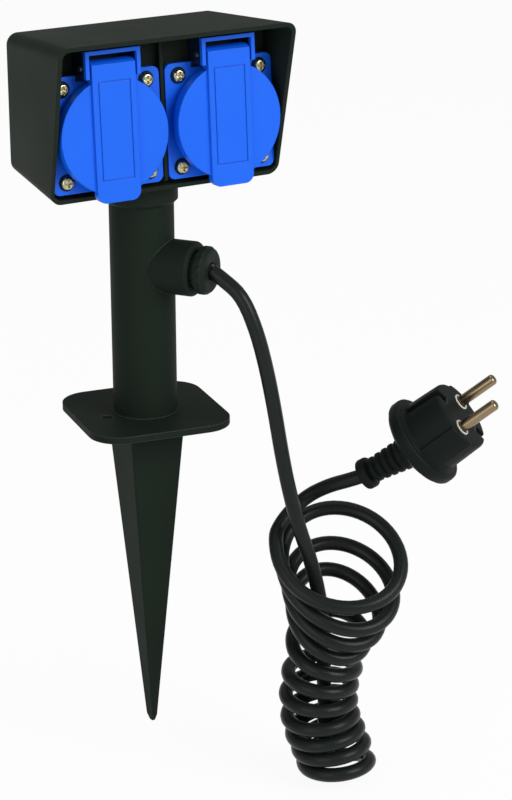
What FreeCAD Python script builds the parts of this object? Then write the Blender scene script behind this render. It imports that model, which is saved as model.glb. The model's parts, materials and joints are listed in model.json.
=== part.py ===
import FreeCAD, Part
import math
import os
from FreeCAD import Matrix, Placement, Rotation, Vector

# Garden socket spike: a drafted housing with two hinged-lid socket outlets stands on a
# round post, whose ground plate and square spike are one moulding with it. A rubber
# lead leaves the post through a gland and hangs in a coil that ends in a mains plug.
# Millimetres. Origin: underside of the ground plate, on the post's axis.
# X runs to the right along the outlets, -Y is the front, +Z is up.

# Post, ground plate and spike
post_radius = 14.1
post_bore_radius = 11.6
plate_size = 64.0
plate_corner_radius = 14.0
plate_thickness = 3.0
plate_hole_radius = 2.5
plate_hole_x = -19.3
plate_hole_y = -4.0
spike_top_width = 27.4
spike_tip_width = 3.8
spike_edge_radius = 1.4
spike_length = 149.0
spike_tip_rounding = 3.0
spike_core_radius = 9.5
spike_core_depth = 100.0
stem_turn = -8.0

# Cable boss and gland on the post
boss_angle = -45.0
boss_height = 70.0
boss_radius = 12.0
boss_reach = 26.0
boss_edge = 1.8
boss_bore_radius = 8.6
boss_bore_depth = 13.0
gland_radius = 10.6
gland_head = 6.2
gland_shank_radius = 8.5
gland_shank = 7.0
gland_groove = 0.9
gland_ribs = 18
gland_seal_length = 4.0
gland_washer_thickness = 1.0

# Housing
housing_bottom_z = 108.2
housing_side_room = 2.8
housing_head_room = 15.6
housing_foot_room = 3.8
rim_top_y = -38.8
rim_bottom_y = -24.0
housing_back_y = 22.4
housing_wall = 1.9
housing_back_wall = 2.4
housing_corner_radius = 5.0
housing_draft = 4.4
collar_radius = 15.9
collar_drop = 10.2
collar_rise = 7.8
collar_chamfer = 1.2
collar_clearance = 0.2
post_stop_height = 2.0
post_stop_radius = 10.4
pillar_radius = 3.1

# Outlets
outlet_pitch = 53.6
outlet_lean = 3.4
flange_width = 50.8
flange_height = 48.8
flange_thickness = 3.0
flange_corner_radius = 3.0
flange_front_y = -22.5
screw_spacing = 38.6
well_radius = 19.5
well_wall = 1.6
well_depth = 17.5
well_floor = 2.5
seat_ring_height = 4.4
seat_ring_wall = 2.0
guide_rib_width = 5.0
guide_rib_height = 1.4
pin_spacing = 19.0
pin_radius = 2.4
pin_hole_clearance = 0.3
gasket_thickness = 0.8
front_plate_thickness = 2.5
front_plate_gap = 0.35
flange_pocket_gap = 0.25
flange_pocket_reach = 40.0
divider_thickness = 1.5
seat_gap = 0.3

# Hinge hood
hood_width = 25.0
hood_wall = 1.7
hood_roof_gap = 0.6
hood_drop = 0.8
hood_reach = 9.6
hood_back_wall = 1.5
hinge_reach = 4.5
hinge_rise = 3.3
hinge_pin_radius = 1.25
hinge_clearance = 0.05
hinge_pin_overhang = 0.6

# Lid
lid_radius = 24.4
lid_drop = 0.8
lid_thickness = 3.5
lid_skirt_wall = 1.0
lid_skirt_depth = 2.0
lid_skirt_inset = 0.2
lid_gap = 0.6
lid_arm_width = 19.8
lid_arm_proud = 1.2
lid_arm_head = 1.9
lid_knuckle_inset = 0.15
lid_tab_drop = 3.0
lid_tab_thickness = 3.4
lid_tab_radius = 4.0
lid_knuckle_width = 4.6
lid_seal_width = 2.2
lid_seal_thickness = 1.3
lid_groove_width = 14.8
lid_groove_height = 41.3
lid_groove_line = 0.5
lid_groove_depth = 0.4
lid_groove_below_hinge = 5.4
spring_wire = 0.8
spring_turns = 4
spring_clearance = 0.4

# Contacts and earth clips
contact_block_width = 32.0
contact_block_height = 15.0
contact_block_corner = 5.0
contact_block_depth = 17.0
contact_sleeve_radius = 3.4
contact_end_wall = 0.9
contact_clearance = 0.05
contact_bore_clearance = 0.1
earth_strap_width = 6.0
earth_strap_thickness = 0.8
earth_tongue_length = 11.5
terminal_width = 4.6
terminal_height = 8.0
terminal_base = 2.0
terminal_beyond_core = 1.1
terminal_screw_radius = 1.5
terminal_screw_proud = 0.6

# Screws
screw_shank_radius = 1.4
screw_length = 14.0
screw_head_radius = 2.9
screw_head_height = 2.2
screw_slot_width = 0.9
screw_slot_depth = 1.2
screw_hole_clearance = 0.2
lock_screw_rise = 6.0

# Cord
cord_diameter = 6.2
core_diameter = 2.0
core_spacing = 2.05
core_depths = (1.2, 3.4, 5.6)
core_fan_rise = 11.0
core_bridge_rise = 1.4
core_bridge_bow = 1.5
inner_cable_drop = 14.0
inner_cable_offset = 2.0
lead_start_straight = 6.0
core_sides = 6

# Coil: turns counted downwards from the loop next to the plug's lead
coil_turns = 10.5
coil_radius = 14.6
coil_flare = 12.8
coil_tilt = 44.0
coil_flare_turns = 4.63
coil_roll_mean = 0.6
coil_roll = 14.1
coil_roll_phase = 2.5
coil_roll_turns = 12.6
coil_side = 80.9
coil_front = 20.0
coil_sway = 4.7
coil_sway_phase = 0.82
coil_sway_turns = 10.7
coil_top_z = -53.0
coil_pitch = 8.6
coil_flare_pitch = 4.46
coil_bearing = -29.46
coil_return_radius = 9.5
coil_return_across = 20.0
coil_return_rear = 2.0
coil_return_rise = 12.0
coil_return_drop = 2.5
least_coil_gap = 0.4

# Plug
plug_collar = Vector(75.7, -64.1, -21.0)
plug_face = Vector(104.5, -93.5, 10.1)
plug_axis = Vector(0.543, -0.542, 0.641)
plug_pin_line = Vector(0.523, 0.804, 0.285)
plug_face_radius = 17.2
plug_body_radius = 18.8
plug_body_length = 18.8
plug_flange_radius = 20.6
plug_flange_thickness = 5.5
plug_back_length = 5.5
plug_neck_radius = 7.0
plug_recess_depth = 1.4
plug_recess_half_angle = 62.0
relief_collar_radius = 7.0
relief_collar_length = 4.6
relief_end_radius = 4.8
relief_ribs = 5
relief_rib_height = 1.0
plug_pin_length = 19.0
plug_pin_step = 0.35
plug_pin_step_length = 0.9
pin_ring_radius = 3.7
pin_ring_depth = 1.6
pin_ring_proud = 0.5
clip_width = 3.6
clip_thickness = 0.9
clip_length = 13.0
clip_inner_radius = 9.0
clip_slot_clearance = 0.3
plug_fillet = 2.0

parts = {}
built_in = 1.0
X = Vector(1, 0, 0)
Y = Vector(0, 1, 0)
Z = Vector(0, 0, 1)
draft = math.tan(math.radians(housing_draft))
cord_radius = cord_diameter / 2.0
flange_back_y = flange_front_y + flange_thickness
outlet_centre_z = housing_bottom_z + housing_foot_room + flange_height / 2.0
housing_top_z = outlet_centre_z + flange_height / 2.0 + housing_head_room
housing_width = outlet_pitch + flange_width + 2.0 * housing_side_room
collar_bottom_z = housing_bottom_z - collar_drop
collar_top_z = housing_bottom_z + collar_rise
post_top_z = collar_top_z - post_stop_height
lock_screw_z = collar_bottom_z + lock_screw_rise
core_fan_z = collar_top_z + core_fan_rise
core_bridge_z = outlet_centre_z + flange_height / 2.0 + core_bridge_rise
inner_cable_top_z = post_top_z - inner_cable_drop
front_plate_front_y = flange_back_y + gasket_thickness
front_plate_back_y = front_plate_front_y + front_plate_thickness
seat_front_y = flange_front_y - seat_ring_height
well_floor_y = seat_front_y + well_depth
well_back_y = well_floor_y + well_floor
block_front_y = well_back_y + earth_strap_thickness
block_back_y = block_front_y + contact_block_depth
lid_back_y = seat_front_y - lid_gap
lid_front_y = lid_back_y - lid_thickness
arm_front_y = lid_front_y - lid_arm_proud
hinge_y = flange_front_y - hinge_reach
hinge_z = outlet_centre_z + flange_height / 2.0 + hinge_rise
knuckle_radius = hinge_y - arm_front_y - lid_knuckle_inset
hood_top_z = hinge_z + knuckle_radius + hood_roof_gap + hood_wall
hood_front_y = flange_front_y - hood_reach
lid_centre_z = outlet_centre_z - lid_drop
well_outer_radius = well_radius + well_wall
outlets = {"left": -outlet_pitch / 2.0, "right": outlet_pitch / 2.0}


def block(x0, x1, y0, y1, z0, z1):
    """A box between two corners."""
    return Part.makeBox(x1 - x0, y1 - y0, z1 - z0, Vector(x0, y0, z0))


def rod(radius, start, end):
    """A round bar from one point to another."""
    along = end - start
    return Part.makeCylinder(radius, along.Length, start, along)


def ring(outer, inner, start, end):
    """A round tube from one point to another."""
    return rod(outer, start, end).cut(rod(inner, start, end))


def rounded_wire(width, height, radius, place):
    """A rounded rectangle about the origin of the XY plane, put at a placement."""
    a = width / 2.0
    b = height / 2.0
    k = radius * (1.0 - math.sqrt(0.5))
    edges = []
    corners = [(a, -b), (a, b), (-a, b), (-a, -b)]
    for i, (x, y) in enumerate(corners):
        sx = math.copysign(1.0, x)
        sy = math.copysign(1.0, y)
        first = Vector(x - sx * radius, y, 0)
        last = Vector(x, y - sy * radius, 0)
        if sx * sy > 0:
            first, last = last, first
        middle = Vector(x - sx * k, y - sy * k, 0)
        edges.append((first, middle, last))
    wire = []
    for i, (first, middle, last) in enumerate(edges):
        wire.append(Part.Arc(first, middle, last).toShape())
        wire.append(Part.LineSegment(last, edges[(i + 1) % 4][0]).toShape())
    shape = Part.Wire(wire)
    shape.Placement = place
    return shape


def facing_front(x, y, z):
    """A placement whose plane faces the front, at a point."""
    return Placement(Vector(x, y, z), Rotation(X, 90))


def slab(x, z, width, height, radius, y0, y1):
    """A rounded rectangle seen from the front, from y0 back to y1."""
    wire = rounded_wire(width, height, radius, facing_front(x, y1, z))
    return Part.Face(wire).extrude(Vector(0, y0 - y1, 0))


def revolved(profile):
    """A solid turned about the Z axis from (radius, z) points."""
    points = [Vector(r, 0, z) for r, z in profile]
    wire = Part.makePolygon(points + [points[0]])
    return Part.Face(wire).revolve(Vector(0, 0, 0), Z, 360)


def leaned(shape):
    """Leans what belongs to the outlets, whose lower edge stands further to the front."""
    shape.rotate(Vector(0, flange_front_y, outlet_centre_z), X, -outlet_lean)
    return shape


def leaned_point(x, y, z):
    pivot = Vector(0, flange_front_y, outlet_centre_z)
    return pivot + Rotation(X, -outlet_lean).multVec(Vector(x, y, z) - pivot)


def turned_stem(shape):
    """Turns what belongs to the post by the angle at which the post sits in its collar."""
    shape.rotate(Vector(0, 0, 0), Z, stem_turn)
    return shape


def boss_point(distance, height=boss_height):
    """A point on the cable boss's axis, before the post is turned."""
    angle = math.radians(boss_angle)
    return Vector(distance * math.cos(angle), distance * math.sin(angle), height)


def housing_half_width(y, wall):
    return housing_width / 2.0 - (y - rim_top_y) * draft - wall


def housing_floor_z(y, wall):
    return housing_bottom_z + (y - rim_bottom_y) * draft + wall


def housing_ceiling_z(y, wall):
    return housing_top_z - (y - rim_top_y) * draft - wall


def housing_section(y, wall):
    """The housing's rounded outline at one depth, drawn in by a wall."""
    low = housing_floor_z(y, wall)
    high = housing_ceiling_z(y, wall)
    radius = housing_corner_radius - wall
    place = facing_front(0, y, (low + high) / 2.0)
    return rounded_wire(2.0 * housing_half_width(y, wall), high - low, radius, place)


def screw_places(centre_x):
    """The four flange screw places of one outlet."""
    half = screw_spacing / 2.0
    places = []
    for dx in (-half, half):
        for dz in (-half, half):
            places.append((centre_x + dx, outlet_centre_z + dz))
    return places


def housing_hollow(gap):
    """The space inside the housing's walls, kept clear of them by a gap."""
    wall = housing_wall + gap
    rear = housing_back_y - housing_back_wall
    sections = [housing_section(rim_top_y - built_in, wall), housing_section(rear, wall)]
    return Part.makeLoft(sections, True, True)


def make_housing():
    """Deep drafted box with a slanted front rim, a collar below and screw pillars."""
    back_inside = housing_back_y - housing_back_wall
    outer = Part.makeLoft([housing_section(rim_top_y, 0), housing_section(housing_back_y, 0)], True, True)
    shell = outer.cut(housing_hollow(0))
    rise = housing_top_z - housing_bottom_z
    slope = (rim_bottom_y - rim_top_y) / rise
    reach = rise
    top = (rim_top_y - slope * reach, housing_top_z + reach)
    low = (rim_bottom_y + slope * reach, housing_bottom_z - reach)
    far = rim_top_y - rise
    outline = [top, low, (far, low[1]), (far, top[1]), top]
    points = [Vector(-housing_width, y, z) for y, z in outline]
    front = Part.Face(Part.makePolygon(points)).extrude(Vector(2.0 * housing_width, 0, 0))
    shell = shell.cut(front)
    collar = rod(collar_radius, Vector(0, 0, collar_bottom_z), Vector(0, 0, collar_top_z))
    edge = [e for e in collar.Edges if abs(e.BoundBox.ZMax - collar_bottom_z) < 0.01 and e.BoundBox.XLength > 1]
    collar = collar.makeChamfer(collar_chamfer, edge)
    shell = shell.fuse(collar)
    for centre_x in outlets.values():
        half_width = flange_width / 2.0 + flange_pocket_gap
        half_height = flange_height / 2.0 + flange_pocket_gap
        low = outlet_centre_z - half_height
        high = outlet_centre_z + half_height
        pocket_front = flange_front_y - flange_pocket_reach
        pocket = block(centre_x - half_width, centre_x + half_width, pocket_front, front_plate_front_y, low, high)
        shell = shell.cut(leaned(pocket))
    for centre_x in outlets.values():
        for x, z in screw_places(centre_x):
            pillar = rod(pillar_radius, Vector(x, front_plate_back_y, z), Vector(x, back_inside + 2 * built_in, z))
            shell = shell.fuse(leaned(pillar).common(outer))
    bore = post_radius + collar_clearance
    shell = shell.cut(rod(bore, Vector(0, 0, collar_bottom_z - 1), Vector(0, 0, post_top_z)))
    shell = shell.cut(rod(post_stop_radius, Vector(0, 0, post_top_z - 1), Vector(0, 0, collar_top_z)))
    hole = screw_shank_radius + 0.05
    depth = flange_front_y + screw_length + 1.0
    for centre_x in outlets.values():
        for x, z in screw_places(centre_x):
            shell = shell.cut(leaned(rod(hole, Vector(x, front_plate_back_y - 1, z), Vector(x, depth, z))))
    lock_hole = screw_shank_radius + 0.05
    shell = shell.cut(rod(lock_hole, Vector(0, post_radius, lock_screw_z), Vector(0, collar_radius + 5, lock_screw_z)))
    return shell.removeSplitter()


def make_front_plate():
    """Flat plate behind both flanges, with a rib that divides them."""
    half = housing_width / 2.0
    plate = block(-half, half, front_plate_front_y, front_plate_back_y, housing_bottom_z, housing_top_z)
    rib_low = outlet_centre_z - flange_height / 2.0
    rib_half = divider_thickness / 2.0
    rib = block(-rib_half, rib_half, flange_front_y, front_plate_front_y, rib_low, housing_top_z)
    plate = plate.fuse(rib)
    for centre_x in outlets.values():
        centre = Vector(centre_x, front_plate_front_y - 1, outlet_centre_z)
        hole = rod(well_outer_radius + seat_gap, centre, centre + Y * (front_plate_thickness + 2))
        plate = plate.cut(hole)
        for x, z in screw_places(centre_x):
            start = Vector(x, front_plate_front_y - 1, z)
            plate = plate.cut(rod(screw_shank_radius + screw_hole_clearance, start, start + Y * 5))
    return leaned(plate).common(housing_hollow(front_plate_gap)).removeSplitter()


def make_spike_post():
    """Round post, cable boss, square ground plate and square spike in one moulding."""
    top = Vector(0, 0, post_top_z)
    post = rod(post_radius, Vector(0, 0, 0), top)
    wire = rounded_wire(plate_size, plate_size, plate_corner_radius, Placement())
    plate = Part.Face(wire).extrude(Z * plate_thickness)
    upper = rounded_wire(spike_top_width, spike_top_width, spike_edge_radius, Placement())
    share = spike_tip_width / spike_top_width
    shoulder_z = -(spike_length - spike_tip_rounding)
    lower_place = Placement(Vector(0, 0, shoulder_z), Rotation())
    lower = rounded_wire(spike_tip_width, spike_tip_width, spike_edge_radius * share, lower_place)
    nose_place = Placement(Vector(0, 0, -spike_length), Rotation())
    nose = rounded_wire(spike_tip_width / 2.0, spike_tip_width / 2.0, spike_edge_radius * share, nose_place)
    spike = Part.makeLoft([upper, lower], True, True)
    point = Part.makeLoft([lower, nose], True, True)
    boss = rod(boss_radius, boss_point(0), boss_point(boss_reach))
    rim = [e for e in boss.Edges if (e.CenterOfMass - boss_point(boss_reach)).Length < 0.1]
    boss = boss.makeFillet(boss_edge, rim)
    body = post.fuse([plate, spike, point, boss])
    bore = rod(post_bore_radius, Vector(0, 0, plate_thickness), top + Z)
    core = Part.makeCone(spike_tip_width / 2.0, spike_core_radius, spike_core_depth, Vector(0, 0, plate_thickness - spike_core_depth))
    mouth = rod(boss_bore_radius, boss_point(boss_bore_depth), boss_point(boss_reach + 1))
    inlet = rod(cord_radius + 1.0, boss_point(0), boss_point(boss_bore_depth + 1))
    hole_start = Vector(plate_hole_x, plate_hole_y, -1)
    hole = rod(plate_hole_radius, hole_start, hole_start + Z * (plate_thickness + 2))
    body = body.cut(bore).cut(core).cut(mouth).cut(inlet).cut(hole)
    return turned_stem(body.removeSplitter())


def make_gland_nut():
    """Ribbed cap with a threaded shank that screws into the boss and grips the lead."""
    shank_start = boss_reach - gland_shank
    head_start = boss_reach + gland_groove
    head_end = head_start + gland_head
    head = rod(gland_radius, boss_point(head_start), boss_point(head_end))
    rim = [e for e in head.Edges if (e.CenterOfMass - boss_point(head_end)).Length < 0.1]
    head = head.makeFillet(gland_groove * 2, rim)
    neck = rod(gland_shank_radius, boss_point(shank_start), boss_point(head_start + 1))
    nut = head.fuse(neck)
    nut = nut.cut(rod(cord_radius + 0.1, boss_point(shank_start - 1), boss_point(head_end + 1)))
    side = Vector(-math.sin(math.radians(boss_angle)), math.cos(math.radians(boss_angle)), 0)
    along = boss_point(1, 0)
    for i in range(gland_ribs):
        angle = 2.0 * math.pi * i / gland_ribs
        out = side * math.cos(angle) + Z * math.sin(angle)
        start = boss_point(head_start - 0.5) + out * (gland_radius + 0.35)
        nut = nut.cut(rod(0.8, start, start + along * (gland_head - 1.5)))
    return turned_stem(nut)


def make_gland_seal():
    """Rubber ring between the gland nut's washer and the boss's floor."""
    start = boss_bore_depth + seat_gap / 3.0
    seal = ring(boss_bore_radius - 0.1, cord_radius + 0.05, boss_point(start), boss_point(start + gland_seal_length))
    return turned_stem(seal)


def make_gland_washer():
    """Slip washer between the seal and the nut's shank."""
    end = boss_reach - gland_shank - 0.05
    start = end - gland_washer_thickness
    washer = ring(boss_bore_radius - 0.1, cord_radius + 0.1, boss_point(start), boss_point(end))
    return turned_stem(washer)


def make_socket_body(centre_x):
    """Square flange, round well with guide ribs and pin holes, seat ring and hinge hood."""
    centre = Vector(centre_x, 0, outlet_centre_z)
    body = slab(centre_x, outlet_centre_z, flange_width, flange_height, flange_corner_radius, flange_front_y, flange_back_y)
    body = body.fuse(rod(well_radius + seat_ring_wall, centre + Y * seat_front_y, centre + Y * flange_front_y))
    body = body.fuse(rod(well_outer_radius, centre + Y * flange_front_y, centre + Y * well_back_y))
    side = hood_width / 2.0
    low = outlet_centre_z + flange_height / 2.0 - hood_drop
    hood = block(centre_x - side, centre_x + side, hood_front_y, flange_back_y, low, hood_top_z)
    inner = side - hood_wall
    rear = flange_back_y - hood_back_wall
    mouth = block(centre_x - inner, centre_x + inner, hood_front_y - 1, rear, low - 1, hood_top_z - hood_wall)
    hood = hood.cut(mouth)
    body = body.fuse(hood)
    well = rod(well_radius, centre + Y * (seat_front_y - 1), centre + Y * well_floor_y)
    for sign in (-1, 1):
        edge = centre_x + sign * well_radius
        inside = edge - sign * guide_rib_height
        x0 = min(edge + sign, inside)
        x1 = max(edge + sign, inside)
        z0 = outlet_centre_z - guide_rib_width / 2.0
        rib = block(x0, x1, seat_front_y + 2, well_floor_y + 1, z0, z0 + guide_rib_width)
        well = well.cut(rib)
    body = body.cut(well)
    for sign in (-1, 1):
        pin = centre + X * (sign * pin_spacing / 2.0)
        hole = rod(pin_radius + pin_hole_clearance, pin + Y * (well_floor_y - 1), pin + Y * (well_back_y + 1))
        body = body.cut(hole)
        slot_z = outlet_centre_z + sign * (well_radius - 2.0)
        slot_half = earth_strap_width / 2.0 + seat_gap
        slot = block(centre_x - slot_half, centre_x + slot_half, well_floor_y - 1, well_back_y + 1, slot_z - 1.2, slot_z + 1.2)
        body = body.cut(slot)
    for x, z in screw_places(centre_x):
        start = Vector(x, flange_front_y - 1, z)
        body = body.cut(rod(screw_shank_radius + screw_hole_clearance, start, start + Y * (flange_thickness + 2)))
    pin_start = Vector(centre_x - side - 1, hinge_y, hinge_z)
    body = body.cut(rod(hinge_pin_radius + 0.02, pin_start, pin_start + X * (hood_width + 2)))
    return leaned(body.removeSplitter())


def make_gasket(centre_x):
    """Foam sheet between the flange and the front plate."""
    width = flange_width - 1.0
    height = flange_height - 1.0
    sheet = slab(centre_x, outlet_centre_z, width, height, flange_corner_radius, flange_back_y, front_plate_front_y)
    centre = Vector(centre_x, flange_back_y - 1, outlet_centre_z)
    sheet = sheet.cut(rod(well_outer_radius + seat_gap, centre, centre + Y * 3))
    for x, z in screw_places(centre_x):
        start = Vector(x, flange_back_y - 1, z)
        sheet = sheet.cut(rod(screw_shank_radius + screw_hole_clearance, start, start + Y * 3))
    return leaned(sheet)


def make_lid(centre_x):
    """Round lid with a skirt, a proud arm up to its hinge knuckles and a finger tab."""
    centre = Vector(centre_x, 0, lid_centre_z)
    disc = rod(lid_radius, centre + Y * lid_front_y, centre + Y * lid_back_y)
    skirt_radius = lid_radius - lid_skirt_inset
    skirt_end = lid_back_y + lid_skirt_depth
    skirt = ring(skirt_radius, skirt_radius - lid_skirt_wall, centre + Y * lid_back_y, centre + Y * skirt_end)
    half = lid_arm_width / 2.0
    tab_low = lid_centre_z - lid_radius - lid_tab_drop
    arm = slab(centre_x, (tab_low + hinge_z) / 2.0, lid_arm_width, hinge_z - tab_low, lid_tab_radius, arm_front_y, lid_front_y)
    head_z = hinge_z + lid_arm_head
    square_top = block(centre_x - half, centre_x + half, arm_front_y, lid_front_y, outlet_centre_z, head_z)
    arm = arm.fuse(square_top)
    tab_high = lid_centre_z - lid_radius + 2.0
    tab_back = arm_front_y + lid_tab_thickness
    tab_middle = (tab_low + tab_high + lid_tab_radius) / 2.0
    tab = slab(centre_x, tab_middle, lid_arm_width, tab_high + lid_tab_radius - tab_low, lid_tab_radius, lid_front_y, tab_back)
    shank_low = lid_centre_z + lid_radius - 2.0
    shank = block(centre_x - half, centre_x + half, lid_front_y, lid_back_y, shank_low, head_z)
    knuckle = rod(knuckle_radius, Vector(centre_x - half, hinge_y, hinge_z), Vector(centre_x + half, hinge_y, hinge_z))
    lid = disc.fuse([skirt, arm, tab, shank, knuckle])
    middle = half - lid_knuckle_width
    room = spring_radius() + spring_wire / 2.0 + spring_clearance
    pocket = rod(room, Vector(centre_x - middle, hinge_y, hinge_z), Vector(centre_x + middle, hinge_y, hinge_z))
    open_reach = knuckle_radius + lid_skirt_wall
    open_low = hinge_z - open_reach
    open_high = hinge_z + open_reach
    open_back = block(centre_x - middle, centre_x + middle, hinge_y, hinge_y + open_reach, open_low, open_high)
    lid = lid.cut(pocket).cut(open_back)
    bore_start = Vector(centre_x - half - 1, hinge_y, hinge_z)
    lid = lid.cut(rod(hinge_pin_radius + hinge_clearance, bore_start, bore_start + X * (lid_arm_width + 2)))
    groove_radius = well_radius + seat_ring_wall / 2.0
    outer = groove_radius + lid_seal_width / 2.0
    inner = groove_radius - lid_seal_width / 2.0
    groove_floor = lid_back_y - (lid_seal_thickness - seat_gap)
    well_centre = Vector(centre_x, 0, outlet_centre_z)
    groove = ring(outer, inner, well_centre + Y * groove_floor, well_centre + Y * (lid_back_y + 0.01))
    lid = lid.cut(groove)
    line_top = hinge_z - lid_groove_below_hinge
    line_low = line_top - lid_groove_height
    side = lid_groove_width / 2.0
    floor_y = arm_front_y + lid_groove_depth
    frame = block(centre_x - side, centre_x + side, arm_front_y - 1, floor_y, line_low, line_top)
    inset = lid_groove_line
    island = block(centre_x - side + inset, centre_x + side - inset, arm_front_y - 1, floor_y, line_low + inset, line_top - inset)
    return leaned(lid.cut(frame.cut(island)).removeSplitter())


def make_lid_seal(centre_x):
    """Rubber ring set in the lid, above the seat ring."""
    centre = Vector(centre_x, 0, outlet_centre_z)
    groove_radius = well_radius + seat_ring_wall / 2.0
    outer = groove_radius + lid_seal_width / 2.0
    inner = groove_radius - lid_seal_width / 2.0
    start = lid_back_y - (lid_seal_thickness - seat_gap)
    return leaned(ring(outer, inner, centre + Y * start, centre + Y * (start + lid_seal_thickness)))


def make_hinge_pin(centre_x):
    """Steel pin through the hood's cheeks and the lid's knuckles."""
    start = Vector(centre_x - hood_width / 2.0 - hinge_pin_overhang, hinge_y, hinge_z)
    return leaned(rod(hinge_pin_radius, start, start + X * (hood_width + hinge_pin_overhang)))


def spring_radius():
    return hinge_pin_radius + spring_clearance / 2.0 + spring_wire / 2.0


def pipe(path, profile):
    """Sweeps a closed wire along a path and makes it a solid."""
    shell = Part.BRepOffsetAPI.MakePipeShell(path)
    shell.add(profile)
    shell.build()
    shell.makeSolid()
    return shell.shape()


def polygon_wire(radius, sides, centre, normal):
    """A regular polygon about a point, square to a direction."""
    place = Placement(centre, Rotation(Z, normal))
    points = []
    for i in range(sides):
        angle = 2.0 * math.pi * i / sides
        points.append(place.multVec(Vector(radius * math.cos(angle), radius * math.sin(angle), 0)))
    return Part.makePolygon(points + [points[0]])


def circle_wire(radius, centre, normal):
    return Part.Wire(Part.Circle(centre, normal, radius).toShape())


def tangent_arc(start, corner, end):
    """The arc that touches start to corner and corner to end."""
    a = (start - corner).normalize()
    b = (end - corner).normalize()
    reach = (start - corner).Length
    half = a.getAngle(b) / 2.0
    radius = reach * math.tan(half)
    along = (a + b).normalize()
    middle = corner + along * (math.hypot(reach, radius) - radius)
    return Part.Arc(start, middle, end).toShape()


def biarc(p0, t0, p1, t1):
    """Two arcs that join two points along their directions."""
    v = p1 - p0
    cosine = t0.dot(t1)
    along = v.dot(t0 + t1)
    if 1.0 - cosine < 1e-9:
        return [Part.LineSegment(p0, p1).toShape()]
    root = along * along + 2.0 * (1.0 - cosine) * v.dot(v)
    reach = (math.sqrt(root) - along) / (2.0 * (1.0 - cosine))
    first = p0 + t0 * reach
    second = p1 - t1 * reach
    joint = (first + second) * 0.5
    return [tangent_arc(p0, first, joint), tangent_arc(joint, second, p1)]


def rounded_path(points):
    """Straight runs joined by tangent arcs of 0.45 of the shorter run, and the radii."""
    edges = []
    radii = []
    last = points[0]
    for before, corner, after in zip(points, points[1:], points[2:]):
        shorter = min((corner - before).Length, (after - corner).Length)
        reach = 0.45 * shorter
        a = (before - corner).normalize()
        b = (after - corner).normalize()
        start = corner + a * reach
        end = corner + b * reach
        radii.append(reach * math.tan(a.getAngle(b) / 2.0))
        edges.append(Part.LineSegment(last, start).toShape())
        edges.append(tangent_arc(start, corner, end))
        last = end
    edges.append(Part.LineSegment(last, points[-1]).toShape())
    return Part.Wire(edges), radii


def cord_tube(name, points, radius, sides=0):
    """A tube along a route, whose volume is compared with its section times its length."""
    path, radii = rounded_path(points)
    start = points[0]
    along = points[1] - points[0]
    if sides:
        profile = polygon_wire(radius, sides, start, along)
        area = 0.5 * sides * radius * radius * math.sin(2.0 * math.pi / sides)
    else:
        profile = circle_wire(radius, start, along)
        area = math.pi * radius * radius
    tube = pipe(path, profile)
    ratio = tube.Volume / (area * path.Length)
    print(name, "length", round(path.Length, 1), "radii", [round(r, 1) for r in radii], "volume ratio", round(ratio, 4))
    return tube


def coil_axes():
    """Right and back, level, for a coil that is turned about the vertical."""
    angle = math.radians(coil_bearing)
    right = Vector(math.cos(angle), math.sin(angle), 0)
    back = Vector(-math.sin(angle), math.cos(angle), 0)
    return right, back


def coil_frame(turn):
    """Centre, radius and the two axes of the coil's loop at a turn counted from the top."""
    right, back = coil_axes()
    flared = min(max(turn, 0.0), coil_flare_turns)
    flare = math.cos(math.pi * flared / (2.0 * coil_flare_turns))
    radius = coil_radius + coil_flare * flare * flare
    tilt = math.radians(coil_tilt) * flare
    roll_wave = math.cos(2.0 * math.pi * (turn - coil_roll_phase) / coil_roll_turns)
    roll = math.radians(coil_roll_mean + coil_roll * roll_wave)
    sway = coil_sway * math.cos(2.0 * math.pi * (turn - coil_sway_phase) / coil_sway_turns)
    height = coil_top_z - coil_pitch * turn - coil_flare_pitch * flared
    centre = right * (coil_side + sway) - back * coil_front + Z * height
    across = right * math.cos(roll) - Z * math.sin(roll)
    rear = back * math.cos(tilt) + Z * math.sin(tilt)
    return centre, radius, across, rear


def coil_point(turn):
    centre, radius, across, rear = coil_frame(turn)
    angle = math.pi + 2.0 * math.pi * turn
    return centre + across * (radius * math.cos(angle)) + rear * (radius * math.sin(angle))


def coil_direction(turn):
    step = 0.001
    return (coil_point(turn + step) - coil_point(turn - step)).normalize()


def coil_stations():
    """Points and directions along the coil: top stub, turns, return loop and inner stub."""
    right, back = coil_axes()
    stations = []
    steps = int(round(coil_turns * 4))
    for i in range(steps + 1):
        turn = coil_turns * i / steps
        stations.append((coil_point(turn), coil_direction(turn)))
    last, onward = stations[-1]
    level = Vector(onward.x, onward.y, 0).normalize()
    side = Vector(-level.y, level.x, 0)
    rear = last + (side + level) * coil_return_radius - Z * coil_return_drop
    stations.append((rear, side))
    inner = last + side * coil_return_across + level * coil_return_rear
    inner = inner + Z * (coil_return_rise - coil_return_drop)
    stations.append((inner, Z))
    return stations


def least_gap(points, spacing, skip):
    """Least distance between points of a path that lie further apart along it than skip."""
    least = (1e9, 0, 0)
    jump = int(skip / spacing)
    for i in range(0, len(points), 2):
        for j in range(i + jump, len(points), 2):
            least = min(least, ((points[i] - points[j]).Length, i * spacing, j * spacing))
    return least


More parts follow.
